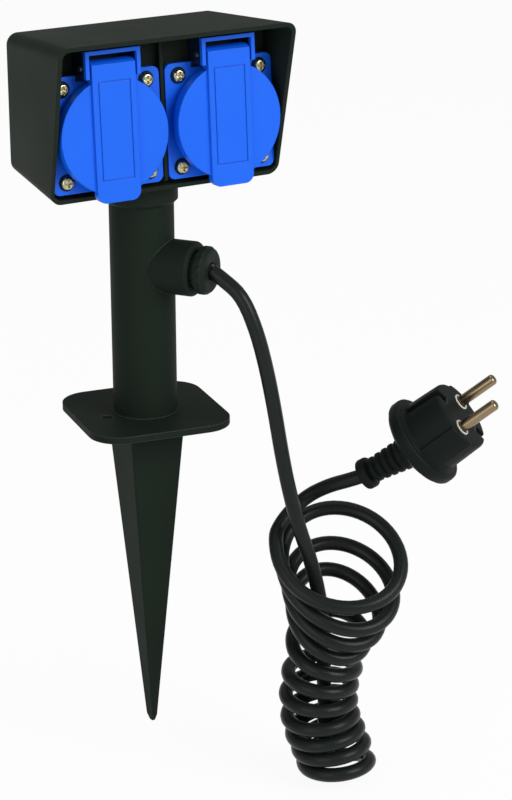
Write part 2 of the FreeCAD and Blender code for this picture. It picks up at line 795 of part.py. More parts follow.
def make_coil():
    """The coil of the lead as one unbroken tube with a straight stub at each end."""
    stations = coil_stations()
    top, down = stations[0]
    start = top - down * cord_diameter
    bottom, up = stations[-1]
    end = bottom + up * cord_diameter
    edges = [Part.LineSegment(start, top).toShape()]
    for (p0, t0), (p1, t1) in zip(stations, stations[1:]):
        edges.extend(biarc(p0, t0, p1, t1))
    edges.append(Part.LineSegment(bottom, end).toShape())
    path = Part.Wire(edges)
    coil = pipe(path, circle_wire(cord_radius, start, down))
    area = math.pi * cord_radius * cord_radius
    spacing = 1.0
    points = path.discretize(Distance=spacing)
    nearest, first_at, second_at = least_gap(points, spacing, 4.0 * cord_diameter)
    gap = nearest - cord_diameter
    print("coil length", round(path.Length, 1), "volume ratio", round(coil.Volume / (area * path.Length), 4))
    print("coil least gap to itself", round(gap, 2), "of at least", least_coil_gap, "at", first_at, second_at)
    return coil, start, down * -1, end, up


def lead_route(coil_end, coil_up):
    """Points of the lead from the gland down into the coil, chosen by hand after the exit."""
    exit_point = boss_point(boss_reach + gland_groove + gland_head)
    onward = boss_point(boss_reach + gland_groove + gland_head + lead_start_straight)
    turn = Rotation(Z, stem_turn)
    first = turn.multVec(exit_point)
    second = turn.multVec(onward)
    middle = [
        Vector(29.0, -42.2, 61.5),
        Vector(32.6, -46.0, 46.0),
        Vector(35.1, -48.5, 30.0),
        Vector(37.4, -51.0, 11.5),
        Vector(39.3, -53.2, -7.5),
        Vector(42.1, -54.8, -26.5),
        Vector(46.1, -55.9, -44.0),
        Vector(51.4, -56.6, -60.0),
        Vector(55.9, -56.8, -78.0),
        Vector(58.4, -56.5, -98.0),
        Vector(58.4, -56.0, -118.0),
    ]
    return [first, second] + middle + [coil_end + coil_up * 16.0, coil_end]


def relief_entry():
    """Where the lead enters the strain relief, and the relief's direction."""
    back = plug_face - Vector(plug_axis).normalize() * -plug_levels()[0]
    along = (back - plug_collar).normalize()
    return plug_collar - along * (relief_collar_length / 2.0), along, back


def plug_lead_route(coil_start, coil_back):
    """Points of the lead from the coil's top loop to the plug, chosen by hand."""
    middle = [
        Vector(53.7, -40.1, -33.0),
        Vector(62.2, -49.5, -27.5),
    ]
    onward = coil_start + coil_back * 6.5
    entry, along, back = relief_entry()
    return [coil_start, onward] + middle + [entry - along * 6.0, entry]


def plug_placement():
    """Plug's own frame: Z along its axis from the face, X along the line of its pins."""
    along = Vector(plug_axis).normalize()
    line = Vector(plug_pin_line)
    line = (line - along * line.dot(along)).normalize()
    side = along.cross(line)
    matrix = Matrix(
        line.x, side.x, along.x, plug_face.x,
        line.y, side.y, along.y, plug_face.y,
        line.z, side.z, along.z, plug_face.z,
        0, 0, 0, 1,
    )
    return Placement(matrix)


def on_plug(shape):
    shape.Placement = plug_placement().multiply(shape.Placement)
    return shape


def plug_levels():
    """Heights along the plug's axis from its face: back, flange start and flange end."""
    front = -plug_body_length
    flange = front - plug_flange_thickness
    back = flange - plug_back_length
    return back, flange, front


def make_strain_relief(body):
    """Ribbed tapered sleeve between the cord and the plug's body, with an end collar."""
    entry, along, back = relief_entry()
    length = (back - entry).Length
    profile = [(0, 0), (relief_collar_radius - 0.8, 0), (relief_collar_radius, 0.8)]
    profile += [(relief_collar_radius, relief_collar_length - 0.8), (relief_collar_radius - 0.8, relief_collar_length)]
    span = length - relief_collar_length
    pitch = span / (relief_ribs + 0.5)
    for i in range(relief_ribs):
        z = relief_collar_length + pitch * i
        share = (i + 0.5) / relief_ribs
        radius = relief_end_radius + (plug_neck_radius - relief_end_radius) * share
        profile += [(radius - relief_rib_height / 2.0, z + 0.2), (radius - relief_rib_height / 2.0, z + pitch * 0.4)]
        profile += [(radius + relief_rib_height / 2.0, z + pitch * 0.45), (radius + relief_rib_height / 2.0, z + pitch * 0.95)]
    overrun = plug_neck_radius / 2.0
    profile += [(plug_neck_radius, length - 1.0), (plug_neck_radius, length + overrun), (0, length + overrun)]
    sleeve = revolved(profile)
    sleeve.Placement = Placement(entry, Rotation(Z, along))
    return sleeve.cut(body)


def make_plug_body():
    """Round plug with a grip flange, side recesses and slots for its earth clips."""
    back, flange, front = plug_levels()
    profile = [(0, back), (plug_neck_radius + 1.0, back), (plug_flange_radius - 3.0, flange - 1.0)]
    profile += [(plug_flange_radius, flange + 1.2), (plug_flange_radius, front - 1.0), (plug_flange_radius - 1.0, front)]
    profile += [(plug_body_radius, front), (plug_face_radius, -plug_fillet)]
    profile += [(plug_face_radius - plug_fillet, 0), (0, 0)]
    body = revolved(profile)
    low = front + 1.5
    high = -plug_fillet - 2.5
    deep = plug_body_radius - plug_recess_depth
    reach = plug_flange_radius + 2.0
    spread = reach * math.tan(math.radians(plug_recess_half_angle))
    for sign in (-1, 1):
        wedge = [Vector(0, 0, low), Vector(sign * reach, -spread, low), Vector(sign * reach, spread, low)]
        sector = Part.Face(Part.makePolygon(wedge + [wedge[0]])).extrude(Z * (high - low))
        core = Part.makeCone(deep, deep - 0.8, high - low, Vector(0, 0, low))
        body = body.cut(sector.cut(core))
        slot_width = clip_width + 2.0 * clip_slot_clearance
        y0 = min(sign * clip_inner_radius, sign * (plug_flange_radius + 1.0))
        slot_depth = plug_flange_radius + 1.0 - clip_inner_radius
        slot_start = -clip_length - clip_slot_clearance
        slot = Part.makeBox(slot_width, slot_depth, clip_length + 3.0, Vector(-slot_width / 2.0, y0, slot_start))
        body = body.cut(slot)
        hole = Part.makeCylinder(pin_ring_radius, pin_ring_depth + 1, Vector(sign * pin_spacing / 2.0, 0, -pin_ring_depth))
        body = body.cut(hole)
    return on_plug(body)


def make_plug_pins():
    """Two round contact pins with rounded tips, a little thinner at the root."""
    pins = []
    for sign in (-1, 1):
        root = Vector(sign * pin_spacing / 2.0, 0, -pin_ring_depth)
        shoulder = Vector(root.x, 0, plug_pin_step_length)
        pin = Part.makeCylinder(pin_radius, plug_pin_length - plug_pin_step_length, shoulder)
        tip = [e for e in pin.Edges if abs(e.BoundBox.ZMin - plug_pin_length) < 0.01 and e.BoundBox.XLength > 1]
        pin = pin.makeFillet(pin_radius * 0.6, tip)
        stub = Part.makeCylinder(pin_radius - plug_pin_step, pin_ring_depth + plug_pin_step_length, root)
        pins.append(pin.fuse(stub))
    return on_plug(Part.makeCompound(pins))


def make_pin_rings():
    """Pale insulating collars round the roots of the pins."""
    rings = []
    for sign in (-1, 1):
        base = Vector(sign * pin_spacing / 2.0, 0, -pin_ring_depth)
        length = pin_ring_depth + pin_ring_proud
        bore = Part.makeCylinder(pin_radius - plug_pin_step, length, base)
        rings.append(Part.makeCylinder(pin_ring_radius, length, base).cut(bore))
    return on_plug(Part.makeCompound(rings))


def make_plug_clips():
    """Two earth strips on the floors of the slots at the plug's sides."""
    clips = []
    for sign in (-1, 1):
        inner = sign * clip_inner_radius
        y0 = min(inner, inner + sign * clip_thickness)
        clip = Part.makeBox(clip_width, clip_thickness, clip_length, Vector(-clip_width / 2.0, y0, -clip_length))
        clips.append(clip)
    return on_plug(Part.makeCompound(clips))


def pan_screw(seat, inward, length):
    """Pan-head screw with a cross recess, its head's underside at seat."""
    head = Part.makeCylinder(screw_head_radius, screw_head_height)
    top = [e for e in head.Edges if abs(e.BoundBox.ZMin - screw_head_height) < 0.01 and e.BoundBox.XLength > 1]
    head = head.makeFillet(screw_head_height * 0.6, top)
    reach = screw_head_radius * 0.62
    half = screw_slot_width / 2.0
    floor_z = screw_head_height - screw_slot_depth
    for size_x, size_y in ((reach, half), (half, reach)):
        slot = Part.makeBox(2 * size_x, 2 * size_y, screw_slot_depth + 1, Vector(-size_x, -size_y, floor_z))
        head = head.cut(slot)
    shank = Part.makeCylinder(screw_shank_radius, length, Vector(0, 0, -length))
    screw = head.fuse(shank)
    screw.Placement = Placement(seat, Rotation(Z, inward * -1))
    return screw


def make_flange_screws(centre_x):
    """The four screws that hold one outlet."""
    screws = []
    for x, z in screw_places(centre_x):
        screws.append(pan_screw(Vector(x, flange_front_y, z), Y, screw_length))
    return leaned(Part.makeCompound(screws))


def make_lid_spring(centre_x):
    """Torsion spring on the hinge pin that holds the lid shut."""
    radius = spring_radius()
    pitch = spring_wire * 1.5
    start_x = centre_x - pitch * spring_turns / 2.0
    stations = []
    for i in range(4 * spring_turns + 1):
        angle = math.pi / 2.0 * i
        out = Vector(0, math.cos(angle), math.sin(angle))
        along = Vector(pitch / (2.0 * math.pi * radius), -math.sin(angle), math.cos(angle)).normalize()
        centre = Vector(start_x + pitch * i / 4.0, hinge_y, hinge_z)
        stations.append((centre + out * radius, along))
    edges = []
    leg = spring_wire
    first, along = stations[0]
    edges.append(Part.LineSegment(first - along * leg, first).toShape())
    for (p0, t0), (p1, t1) in zip(stations, stations[1:]):
        edges.extend(biarc(p0, t0, p1, t1))
    last, onward = stations[-1]
    edges.append(Part.LineSegment(last, last + onward * leg).toShape())
    start = first - along * leg
    return leaned(pipe(Part.Wire(edges), polygon_wire(spring_wire / 2.0, 6, start, along)))


def make_contact_block(centre_x):
    """Moulded carrier behind the well that holds both contacts."""
    width = contact_block_width
    height = contact_block_height
    carrier = slab(centre_x, outlet_centre_z, width, height, contact_block_corner, block_front_y, block_back_y)
    for sign in (-1, 1):
        start = Vector(centre_x + sign * pin_spacing / 2.0, block_front_y - 1, outlet_centre_z)
        carrier = carrier.cut(rod(contact_sleeve_radius + contact_clearance, start, start + Y * (contact_block_depth + 2)))
    return leaned(carrier)


def make_contacts(centre_x):
    """Live and neutral sleeves that take the pins of a plug."""
    centre = Vector(centre_x, 0, outlet_centre_z)
    sleeves = []
    for sign in (-1, 1):
        pin = centre + X * (sign * pin_spacing / 2.0)
        sleeve = rod(contact_sleeve_radius, pin + Y * block_front_y, pin + Y * block_back_y)
        bore_radius = pin_radius + contact_bore_clearance
        bore = rod(bore_radius, pin + Y * (block_front_y - 1), pin + Y * (block_back_y - contact_end_wall))
        sleeves.append(sleeve.cut(bore))
    return leaned(Part.makeCompound(sleeves))


def make_earth_clip(centre_x):
    """Brass strap behind the well floor with two tongues that reach into the well."""
    half = earth_strap_width / 2.0
    outer = well_radius - 1.6
    strap = block(centre_x - half, centre_x + half, well_back_y, block_front_y, outlet_centre_z - outer, outlet_centre_z + outer)
    for sign in (-1, 1):
        edge = outlet_centre_z + sign * outer
        inside = edge - sign * earth_strap_thickness
        z0 = min(edge, inside)
        z1 = max(edge, inside)
        tongue = block(centre_x - half, centre_x + half, well_floor_y - earth_tongue_length, block_front_y, z0, z1)
        bump_start = well_floor_y - earth_tongue_length
        points = [(bump_start, 0), (bump_start + 3.0, 1.6), (bump_start + 6.0, 1.6), (bump_start + 9.0, 0)]
        outline = [Vector(centre_x - half, y, inside - sign * rise) for y, rise in points]
        bump = Part.Face(Part.makePolygon(outline + [outline[0]])).extrude(X * earth_strap_width)
        strap = strap.fuse([tongue, bump])
    return leaned(strap.removeSplitter())


def terminal_places(centre_x):
    """Terminal positions of one outlet: live, neutral and earth, with each core's depth."""
    half = pin_spacing / 2.0
    depths = [block_back_y + depth for depth in core_depths]
    return [(centre_x - half, depths[0]), (centre_x + half, depths[2]), (centre_x, depths[1])]


def make_terminals(centre_x):
    """Brass terminal blocks on the back of the contact carrier, one for each core."""
    blocks = []
    half = terminal_width / 2.0
    low = outlet_centre_z + terminal_base
    for x, core_y in terminal_places(centre_x):
        back = core_y + terminal_beyond_core
        blocks.append(block(x - half, x + half, block_back_y, back, low, low + terminal_height))
    return leaned(Part.makeCompound(blocks))


def make_terminal_screws(centre_x):
    """Grub screws on the terminal blocks."""
    screws = []
    for x, core_y in terminal_places(centre_x):
        middle_z = outlet_centre_z + terminal_base + terminal_height / 2.0
        seat = Vector(x, core_y + terminal_beyond_core, middle_z)
        screws.append(rod(terminal_screw_radius, seat, seat + Y * terminal_screw_proud))
    return leaned(Part.makeCompound(screws))


def make_lock_screw():
    """Screw through the back of the collar that locks the post."""
    seat = Vector(0, collar_radius, lock_screw_z)
    screw = pan_screw(seat, Y * -1, collar_radius - post_radius - 0.1)
    return screw


def inner_cable_top():
    """The end of the sheathed cable inside the post."""
    turn = Rotation(Z, stem_turn)
    return turn.multVec(boss_point(-inner_cable_offset, inner_cable_top_z))


def make_inner_cable():
    """The sheathed cable from the gland up through the post."""
    turn = Rotation(Z, stem_turn)
    start = turn.multVec(boss_point(boss_reach + gland_groove + gland_head))
    corner = turn.multVec(boss_point(-inner_cable_offset))
    return cord_tube("inner cable", [start, corner, inner_cable_top()], cord_radius)


def make_core(index):
    """One core from the cable's end to the left outlet, with a bridge over to the right one."""
    radius = core_diameter / 2.0
    order = (-1, 1, 0)[index]
    left_x, core_y = terminal_places(outlets["left"])[index]
    right_x = terminal_places(outlets["right"])[index][0]
    cable_end = inner_cable_top() + Vector(0.5, 0.87, 0) * (order * core_spacing)
    fan = Vector(cable_end.x, cable_end.y, core_fan_z)
    low = outlet_centre_z + terminal_base
    top = low + terminal_height
    feed = [cable_end, fan, leaned_point(left_x, core_y, core_fan_z), leaned_point(left_x, core_y, low)]
    bridge = [
        leaned_point(left_x, core_y, top),
        leaned_point(left_x, core_y, core_bridge_z),
        leaned_point((left_x + right_x) / 2.0, core_y, core_bridge_z + core_bridge_bow),
        leaned_point(right_x, core_y, core_bridge_z),
        leaned_point(right_x, core_y, top),
    ]
    tubes = [cord_tube("core", feed, radius, core_sides), cord_tube("bridge", bridge, radius, core_sides)]
    return Part.makeCompound(tubes)


coil, coil_start, coil_back, coil_end, coil_up = make_coil()
parts["housing"] = make_housing()
parts["front_plate"] = make_front_plate()
parts["spike_post"] = make_spike_post()
parts["post_lock_screw"] = make_lock_screw()
parts["gland_nut"] = make_gland_nut()
parts["gland_seal"] = make_gland_seal()
parts["gland_washer"] = make_gland_washer()
parts["inner_cable"] = make_inner_cable()
for name, centre_x in outlets.items():
    parts[name + "_socket_body"] = make_socket_body(centre_x)
    parts[name + "_flange_gasket"] = make_gasket(centre_x)
    parts[name + "_flange_screws"] = make_flange_screws(centre_x)
    parts[name + "_lid"] = make_lid(centre_x)
    parts[name + "_lid_seal"] = make_lid_seal(centre_x)
    parts[name + "_hinge_pin"] = make_hinge_pin(centre_x)
    parts[name + "_lid_spring"] = make_lid_spring(centre_x)
    parts[name + "_contact_block"] = make_contact_block(centre_x)
    parts[name + "_contacts"] = make_contacts(centre_x)
    parts[name + "_earth_clip"] = make_earth_clip(centre_x)
    parts[name + "_terminals"] = make_terminals(centre_x)
    parts[name + "_terminal_screws"] = make_terminal_screws(centre_x)
parts["core_live"] = make_core(0)
parts["core_neutral"] = make_core(1)
parts["core_earth"] = make_core(2)
parts["cord_lead"] = cord_tube("lead", lead_route(coil_end, coil_up), cord_radius)
parts["cord_coil"] = coil
parts["cord_plug_lead"] = cord_tube("plug lead", plug_lead_route(coil_start, coil_back), cord_radius)
parts["plug_body"] = make_plug_body()
parts["plug_strain_relief"] = make_strain_relief(parts["plug_body"])
parts["plug_pins"] = make_plug_pins()
parts["plug_pin_rings"] = make_pin_rings()
parts["plug_earth_clips"] = make_plug_clips()

os.makedirs("parts", exist_ok=True)
for name, shape in parts.items():
    shape.exportStep("parts/" + name + ".step")
    print(name, "solids", len(shape.Solids), "valid", shape.isValid(), "volume", round(shape.Volume, 1))
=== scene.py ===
# %% [markdown]
# # A garden socket spike
# Two outlets with blue spring lids sit in a black housing on a post, and the post ends in a
# square ground plate and a long spike. A rubber lead leaves a gland on the post, drops into
# a coil and ends in a plug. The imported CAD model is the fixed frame: it already has every
# moving part in its place, so each cell below either gives one of its nodes a finish or
# makes a piece that stands for it and is nearer to the real one. Lengths are written in
# millimetres, and mm turns them into Blender's metres.

# %% Load the frame
import json
import math
import bmesh
import bpy
from mathutils import Matrix, Vector


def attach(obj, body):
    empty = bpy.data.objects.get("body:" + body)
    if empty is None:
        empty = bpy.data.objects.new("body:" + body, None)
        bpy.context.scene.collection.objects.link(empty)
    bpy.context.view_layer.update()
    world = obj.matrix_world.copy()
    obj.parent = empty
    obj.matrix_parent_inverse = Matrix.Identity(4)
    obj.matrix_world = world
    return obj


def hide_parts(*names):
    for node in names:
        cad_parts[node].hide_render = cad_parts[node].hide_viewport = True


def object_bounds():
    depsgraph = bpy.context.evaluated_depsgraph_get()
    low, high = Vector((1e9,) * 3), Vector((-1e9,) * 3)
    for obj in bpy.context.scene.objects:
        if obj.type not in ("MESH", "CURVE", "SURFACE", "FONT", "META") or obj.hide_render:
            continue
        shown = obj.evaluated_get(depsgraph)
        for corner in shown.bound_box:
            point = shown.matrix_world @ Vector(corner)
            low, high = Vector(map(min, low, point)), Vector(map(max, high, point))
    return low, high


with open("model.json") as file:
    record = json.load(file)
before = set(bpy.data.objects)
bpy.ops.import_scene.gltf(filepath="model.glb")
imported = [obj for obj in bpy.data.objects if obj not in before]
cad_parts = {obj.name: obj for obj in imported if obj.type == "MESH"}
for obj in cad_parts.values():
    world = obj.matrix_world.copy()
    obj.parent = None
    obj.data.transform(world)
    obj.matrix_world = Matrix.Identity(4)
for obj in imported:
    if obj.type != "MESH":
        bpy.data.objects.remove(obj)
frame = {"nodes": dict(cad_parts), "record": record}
cad_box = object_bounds()
nodes = frame["nodes"]
mm = 0.001
outlet_lean = 3.4
flange_face = -22.5
outlet_height = 136.4
lean_centre = Vector((0.0, flange_face, outlet_height)) * mm

# %% [markdown]
# ## Camera
# A product photo is taken from far away with a long lens, so its upright edges stay nearly
# parallel. The camera could be set by eye, but its place was solved from the housing's
# corners and the ground plate, which gives the same picture at every edge. Azimuth is
# measured from the front, and a small roll levels the picture.

# %% Camera
camera_place = Vector((-0.4927, -0.9715, 0.3914))
camera_azimuth = math.radians(-29.46)
camera_elevation = math.radians(19.47)
camera_roll = math.radians(-0.33)
camera_lens = 117.8
camera_sensor = 36.0
camera_right = Vector((math.cos(camera_azimuth), math.sin(camera_azimuth), 0.0))
camera_away = Vector((-math.sin(camera_azimuth), math.cos(camera_azimuth), 0.0))


def add_object(name, data):
    """Links a new object to the scene, at the origin and unturned."""
    item = bpy.data.objects.new(name, data)
    bpy.context.scene.collection.objects.link(item)
    return item


def make_camera():
    """A camera that stands at camera_place and looks along the photograph's direction."""
    data = bpy.data.cameras.new("camera")
    data.lens = camera_lens
    data.sensor_width = camera_sensor
    data.clip_start = 0.05
    data.clip_end = 20.0
    level = math.cos(camera_elevation)
    back = Vector((math.sin(camera_azimuth) * level,
                   -math.cos(camera_azimuth) * level,
                   math.sin(camera_elevation)))
    up = back.cross(camera_right)
    turn = Matrix.Rotation(camera_roll, 3, back)
    matrix = Matrix((turn @ camera_right, turn @ up, back)).transposed().to_4x4()
    matrix.translation = camera_place
    camera = add_object("camera", data)
    camera.matrix_world = matrix
    bpy.context.scene.camera = camera
    return camera


camera = make_camera()
print("camera at", [round(v, 3) for v in camera.matrix_world.translation])

# %% [markdown]
# ## Shared effects
# Two effects belong to every moulded or turned piece. The steel tool leaves a fine grain
# and a gloss that drifts from place to place. And no real edge is sharp: its small rounding
# catches the light, which tells the eye that a shape is moulded. Each material could hold
# its own nodes for them, but a node group is built once, and each material sets its own
# sizes. The groups put out only a roughness, a height, a mask and a normal, and the shader
# stays in the material.

# %% Node helpers
def new_socket(group, name, way, kind, value=None):
    """Adds one named socket to a node group."""
    socket = group.interface.new_socket(name=name, in_out=way, socket_type=kind)
    if value is not None:
        socket.default_value = value
    return socket


def new_sizes(group, sizes):
    """Adds one number input for each name and value."""
    for name, value in sizes.items():
        new_socket(group, name, "INPUT", "NodeSocketFloat", value)


def add_node(tree, kind, values):
    """Adds one node and sets the inputs that are named."""
    node = tree.nodes.new(kind)
    for name, value in values.items():
        node.inputs[name].default_value = value
    return node


def add_math(tree, operation, *terms):
    """A Math node on sockets or plain numbers. Gives its result."""
    node = tree.nodes.new("ShaderNodeMath")
    node.operation = operation
    for socket, term in zip(node.inputs, terms):
        if isinstance(term, float):
            socket.default_value = term
        else:
            tree.links.new(term, socket)
    return node.outputs["Value"]


def add_blend(tree, share, first, second):
    """A mix of two colours, the first a socket or a colour, the second a colour."""
    node = tree.nodes.new("ShaderNodeMix")
    node.data_type = "RGBA"
    if isinstance(first, tuple):
        node.inputs["A"].default_value = (*first, 1.0)
    else:
        tree.links.new(first, node.inputs["A"])
    node.inputs["B"].default_value = (*second, 1.0)
    tree.links.new(share, node.inputs["Factor"])
    return node.outputs["Result"]


print("node helpers ready")

# %% Grain group
def make_grain_group():
    """Fine grain and a slow drift of roughness, in Object coordinates."""
    group = bpy.data.node_groups.new("moulded_grain", "ShaderNodeTree")
    new_sizes(group, {"Grain Size": 900.0, "Drift Size": 22.0,
                      "Middle Roughness": 0.4, "Roughness Drift": 0.06})
    for name in ("Roughness", "Height", "Mask"):
        new_socket(group, name, "OUTPUT", "NodeSocketFloat")
    start = group.nodes.new("NodeGroupInput")
    end = group.nodes.new("NodeGroupOutput")
    place = group.nodes.new("ShaderNodeTexCoord")
    grain = add_node(group, "ShaderNodeTexNoise", {"Detail": 3.0})
    drift = add_node(group, "ShaderNodeTexNoise", {"Detail": 4.0})
    spread = add_node(group, "ShaderNodeMapRange",
                      {"From Min": 0.3, "From Max": 0.7, "To Min": -1.0, "To Max": 1.0})
    link = group.links.new
    link(place.outputs["Object"], grain.inputs["Vector"])
    link(place.outputs["Object"], drift.inputs["Vector"])
    link(start.outputs["Grain Size"], grain.inputs["Scale"])
    link(start.outputs["Drift Size"], drift.inputs["Scale"])
    link(drift.outputs["Fac"], spread.inputs["Value"])
    change = add_math(group, "MULTIPLY", spread.outputs["Result"], start.outputs["Roughness Drift"])
    total = add_math(group, "ADD", change, start.outputs["Middle Roughness"])
    link(total, end.inputs["Roughness"])
    link(grain.outputs["Fac"], end.inputs["Height"])
    link(drift.outputs["Fac"], end.inputs["Mask"])
    return group


grain_group = make_grain_group()
print("grain group nodes:", len(grain_group.nodes))

# %% Edge group
def make_edge_group():
    """A normal that rounds each edge, and a mask that is strongest on the edges."""
    group = bpy.data.node_groups.new("soft_edges", "ShaderNodeTree")
    new_sizes(group, {"Radius": 0.0004})
    new_socket(group, "Normal", "OUTPUT", "NodeSocketVector")
    new_socket(group, "Edge", "OUTPUT", "NodeSocketFloat")
    start = group.nodes.new("NodeGroupInput")
    end = group.nodes.new("NodeGroupOutput")
    soften = group.nodes.new("ShaderNodeBevel")
    soften.samples = 6
    surface = group.nodes.new("ShaderNodeNewGeometry")
    apart = group.nodes.new("ShaderNodeVectorMath")
    apart.operation = "DOT_PRODUCT"
    edge = add_node(group, "ShaderNodeMapRange", {"From Min": 0.98, "From Max": 0.80})
    link = group.links.new
    link(start.outputs["Radius"], soften.inputs["Radius"])
    link(soften.outputs["Normal"], end.inputs["Normal"])
    link(soften.outputs["Normal"], apart.inputs[0])
    link(surface.outputs["True Normal"], apart.inputs[1])
    link(apart.outputs["Value"], edge.inputs["Value"])
    link(edge.outputs["Result"], end.inputs["Edge"])
    return group


edge_group = make_edge_group()
print("edge group nodes:", len(edge_group.nodes))

# %% [markdown]
# ## Materials
# Each finish of the real object is one material: satin black plastic with a faint green
# cast, glossy blue plastic, black rubber, pale zinc, steel, brass and white plastic. They
# could be plain colours, but a real surface is never quite even. So a Principled shader
# takes a base colour that drifts between two near tones, the grain group drives roughness
# and a very shallow bump, and the edge mask paints the edges lighter: partly handling wear,
# partly a painted highlight on their rounding. The post has its own copy of the black, as
# the ground has scuffed its edges more and its painted edge highlight is stronger.

# %% Material maker
# How much lighter the edge tone is; the lightening is partly wear and partly a painted highlight.
wear_and_sheen_gain = 1.6
dent_height = 0.0002


def make_material(name, colour, second, roughness, drift, grain_size, bump,
                  metal=0.0, specular=0.5, edge=0.0004, wear_and_sheen=0.0, drift_size=22.0, lift=0.01):
    """A Principled material with the shared effects. Colours are linear, lengths metres."""
    material = bpy.data.materials.new(name)
    material.use_nodes = True
    tree = material.node_tree
    tree.nodes.clear()
    out = tree.nodes.new("ShaderNodeOutputMaterial")
    shader = add_node(tree, "ShaderNodeBsdfPrincipled",
                      {"Metallic": metal, "Specular IOR Level": specular})
    grain = tree.nodes.new("ShaderNodeGroup")
    grain.node_tree = grain_group
    grain.inputs["Grain Size"].default_value = grain_size
    grain.inputs["Drift Size"].default_value = drift_size
    grain.inputs["Middle Roughness"].default_value = roughness
    grain.inputs["Roughness Drift"].default_value = drift
    edges = tree.nodes.new("ShaderNodeGroup")
    edges.node_tree = edge_group
    edges.inputs["Radius"].default_value = edge
    dent = add_node(tree, "ShaderNodeBump", {"Strength": bump, "Distance": dent_height})
    # The edge tone: partly wear, partly a painted highlight on the rounded edges.
    worn_and_sheened = tuple(min(1.0, c * wear_and_sheen_gain + lift) for c in second)
    mixed = add_blend(tree, grain.outputs["Mask"], colour, second)
    share = add_math(tree, "MULTIPLY", edges.outputs["Edge"], wear_and_sheen)
    link = tree.links.new
    link(add_blend(tree, share, mixed, worn_and_sheened), shader.inputs["Base Color"])
    link(grain.outputs["Roughness"], shader.inputs["Roughness"])
    link(grain.outputs["Height"], dent.inputs["Height"])
    link(edges.outputs["Normal"], dent.inputs["Normal"])
    link(dent.outputs["Normal"], shader.inputs["Normal"])
    link(shader.outputs["BSDF"], out.inputs["Surface"])
    return material


print("material maker ready, rubbed tones are", wear_and_sheen_gain, "times lighter")

# %% Finishes of the outside
black_tones = ((0.0095, 0.0150, 0.0105), (0.0130, 0.0195, 0.0145))
satin_black = make_material("satin_black_plastic", *black_tones, 0.55, 0.05, 1400.0, 0.22,
                            specular=0.06, edge=0.0006, wear_and_sheen=0.35)
# The post's black, with more edge wear and a stronger painted edge highlight.
worn_and_sheen_black = make_material("worn_and_sheen_black_plastic", *black_tones, 0.55, 0.05, 1400.0, 0.22,
                              specular=0.04, edge=0.0006, wear_and_sheen=0.9, lift=0.055)
lid_blue = make_material("glossy_blue_plastic", (0.002, 0.105, 0.72), (0.003, 0.118, 0.78),
                         0.38, 0.04, 600.0, 0.08, specular=0.25, edge=0.0005, wear_and_sheen=0.15)
cord_rubber = make_material("black_cord_rubber", (0.0072, 0.0102, 0.0089),
                            (0.0096, 0.0130, 0.0114), 0.33, 0.06, 900.0, 0.25, specular=0.16)
plug_rubber = make_material("black_plug_rubber", (0.0060, 0.0090, 0.0075),
                            (0.0085, 0.0120, 0.0105), 0.46, 0.06, 1100.0, 0.25,
                            specular=0.06, edge=0.0008, wear_and_sheen=0.4)
pale_zinc = make_material("pale_zinc", (0.03, 0.028, 0.010), (0.97, 0.90, 0.55),
                          0.22, 0.10, 700.0, 0.4, metal=1.0, edge=0.0002, drift_size=1300.0)
pin_brass = make_material("polished_brass", (0.235, 0.175, 0.105), (0.30, 0.225, 0.135),
                          0.20, 0.06, 700.0, 0.10, metal=1.0, edge=0.0002)
dull_steel = make_material("dull_steel", (0.045, 0.047, 0.047), (0.07, 0.072, 0.072),
                           0.5, 0.08, 800.0, 0.15, metal=1.0, edge=0.0002)
white_plastic = make_material("pale_pin_plastic", (0.50, 0.50, 0.44), (0.58, 0.58, 0.52),
                              0.38, 0.04, 900.0, 0.10, edge=0.0002)
print("outside finishes, from", satin_black.name, "to", white_plastic.name)

# %% Finishes of the inside
plain_steel = make_material("plain_steel", (0.30, 0.31, 0.31), (0.40, 0.41, 0.42),
                            0.34, 0.08, 800.0, 0.15, metal=1.0, edge=0.0002)
pale_carrier = make_material("pale_carrier_plastic", (0.60, 0.60, 0.55), (0.66, 0.66, 0.62),
                             0.50, 0.05, 900.0, 0.15)
black_foam = make_material("black_foam", (0.012, 0.012, 0.012), (0.020, 0.020, 0.020),
                           0.85, 0.05, 1500.0, 0.6, specular=0.1)
core_brown = make_material("brown_core", (0.09, 0.035, 0.015), (0.11, 0.045, 0.02),
                           0.4, 0.04, 900.0, 0.1)
core_blue = make_material("blue_core", (0.02, 0.09, 0.40), (0.03, 0.11, 0.45),
                          0.4, 0.04, 900.0, 0.1)
core_green = make_material("green_core", (0.06, 0.30, 0.04), (0.08, 0.36, 0.06),
                           0.4, 0.04, 900.0, 0.1)
print("inside finishes, from", plain_steel.name, "to", core_green.name)

# %% [markdown]
# ## Hood
# On the real outlet a hood stands over each hinge. Its front frame is bright blue, and
# behind the frame it lies in deep shade. The hood is one moulding with the flange, and a
# mask in Object coordinates paints that shade as near-black on the part that lies behind
# the frame, above the hood's foot and between its cheeks.

# %% Hood mask for painted shade
hood_sizes = {"Half Width": 0.0132, "Outlet Offset": 0.0268,
              "Frame Depth": 0.0303, "Foot Height": 0.1580}
hood_edge_blur = 0.0004


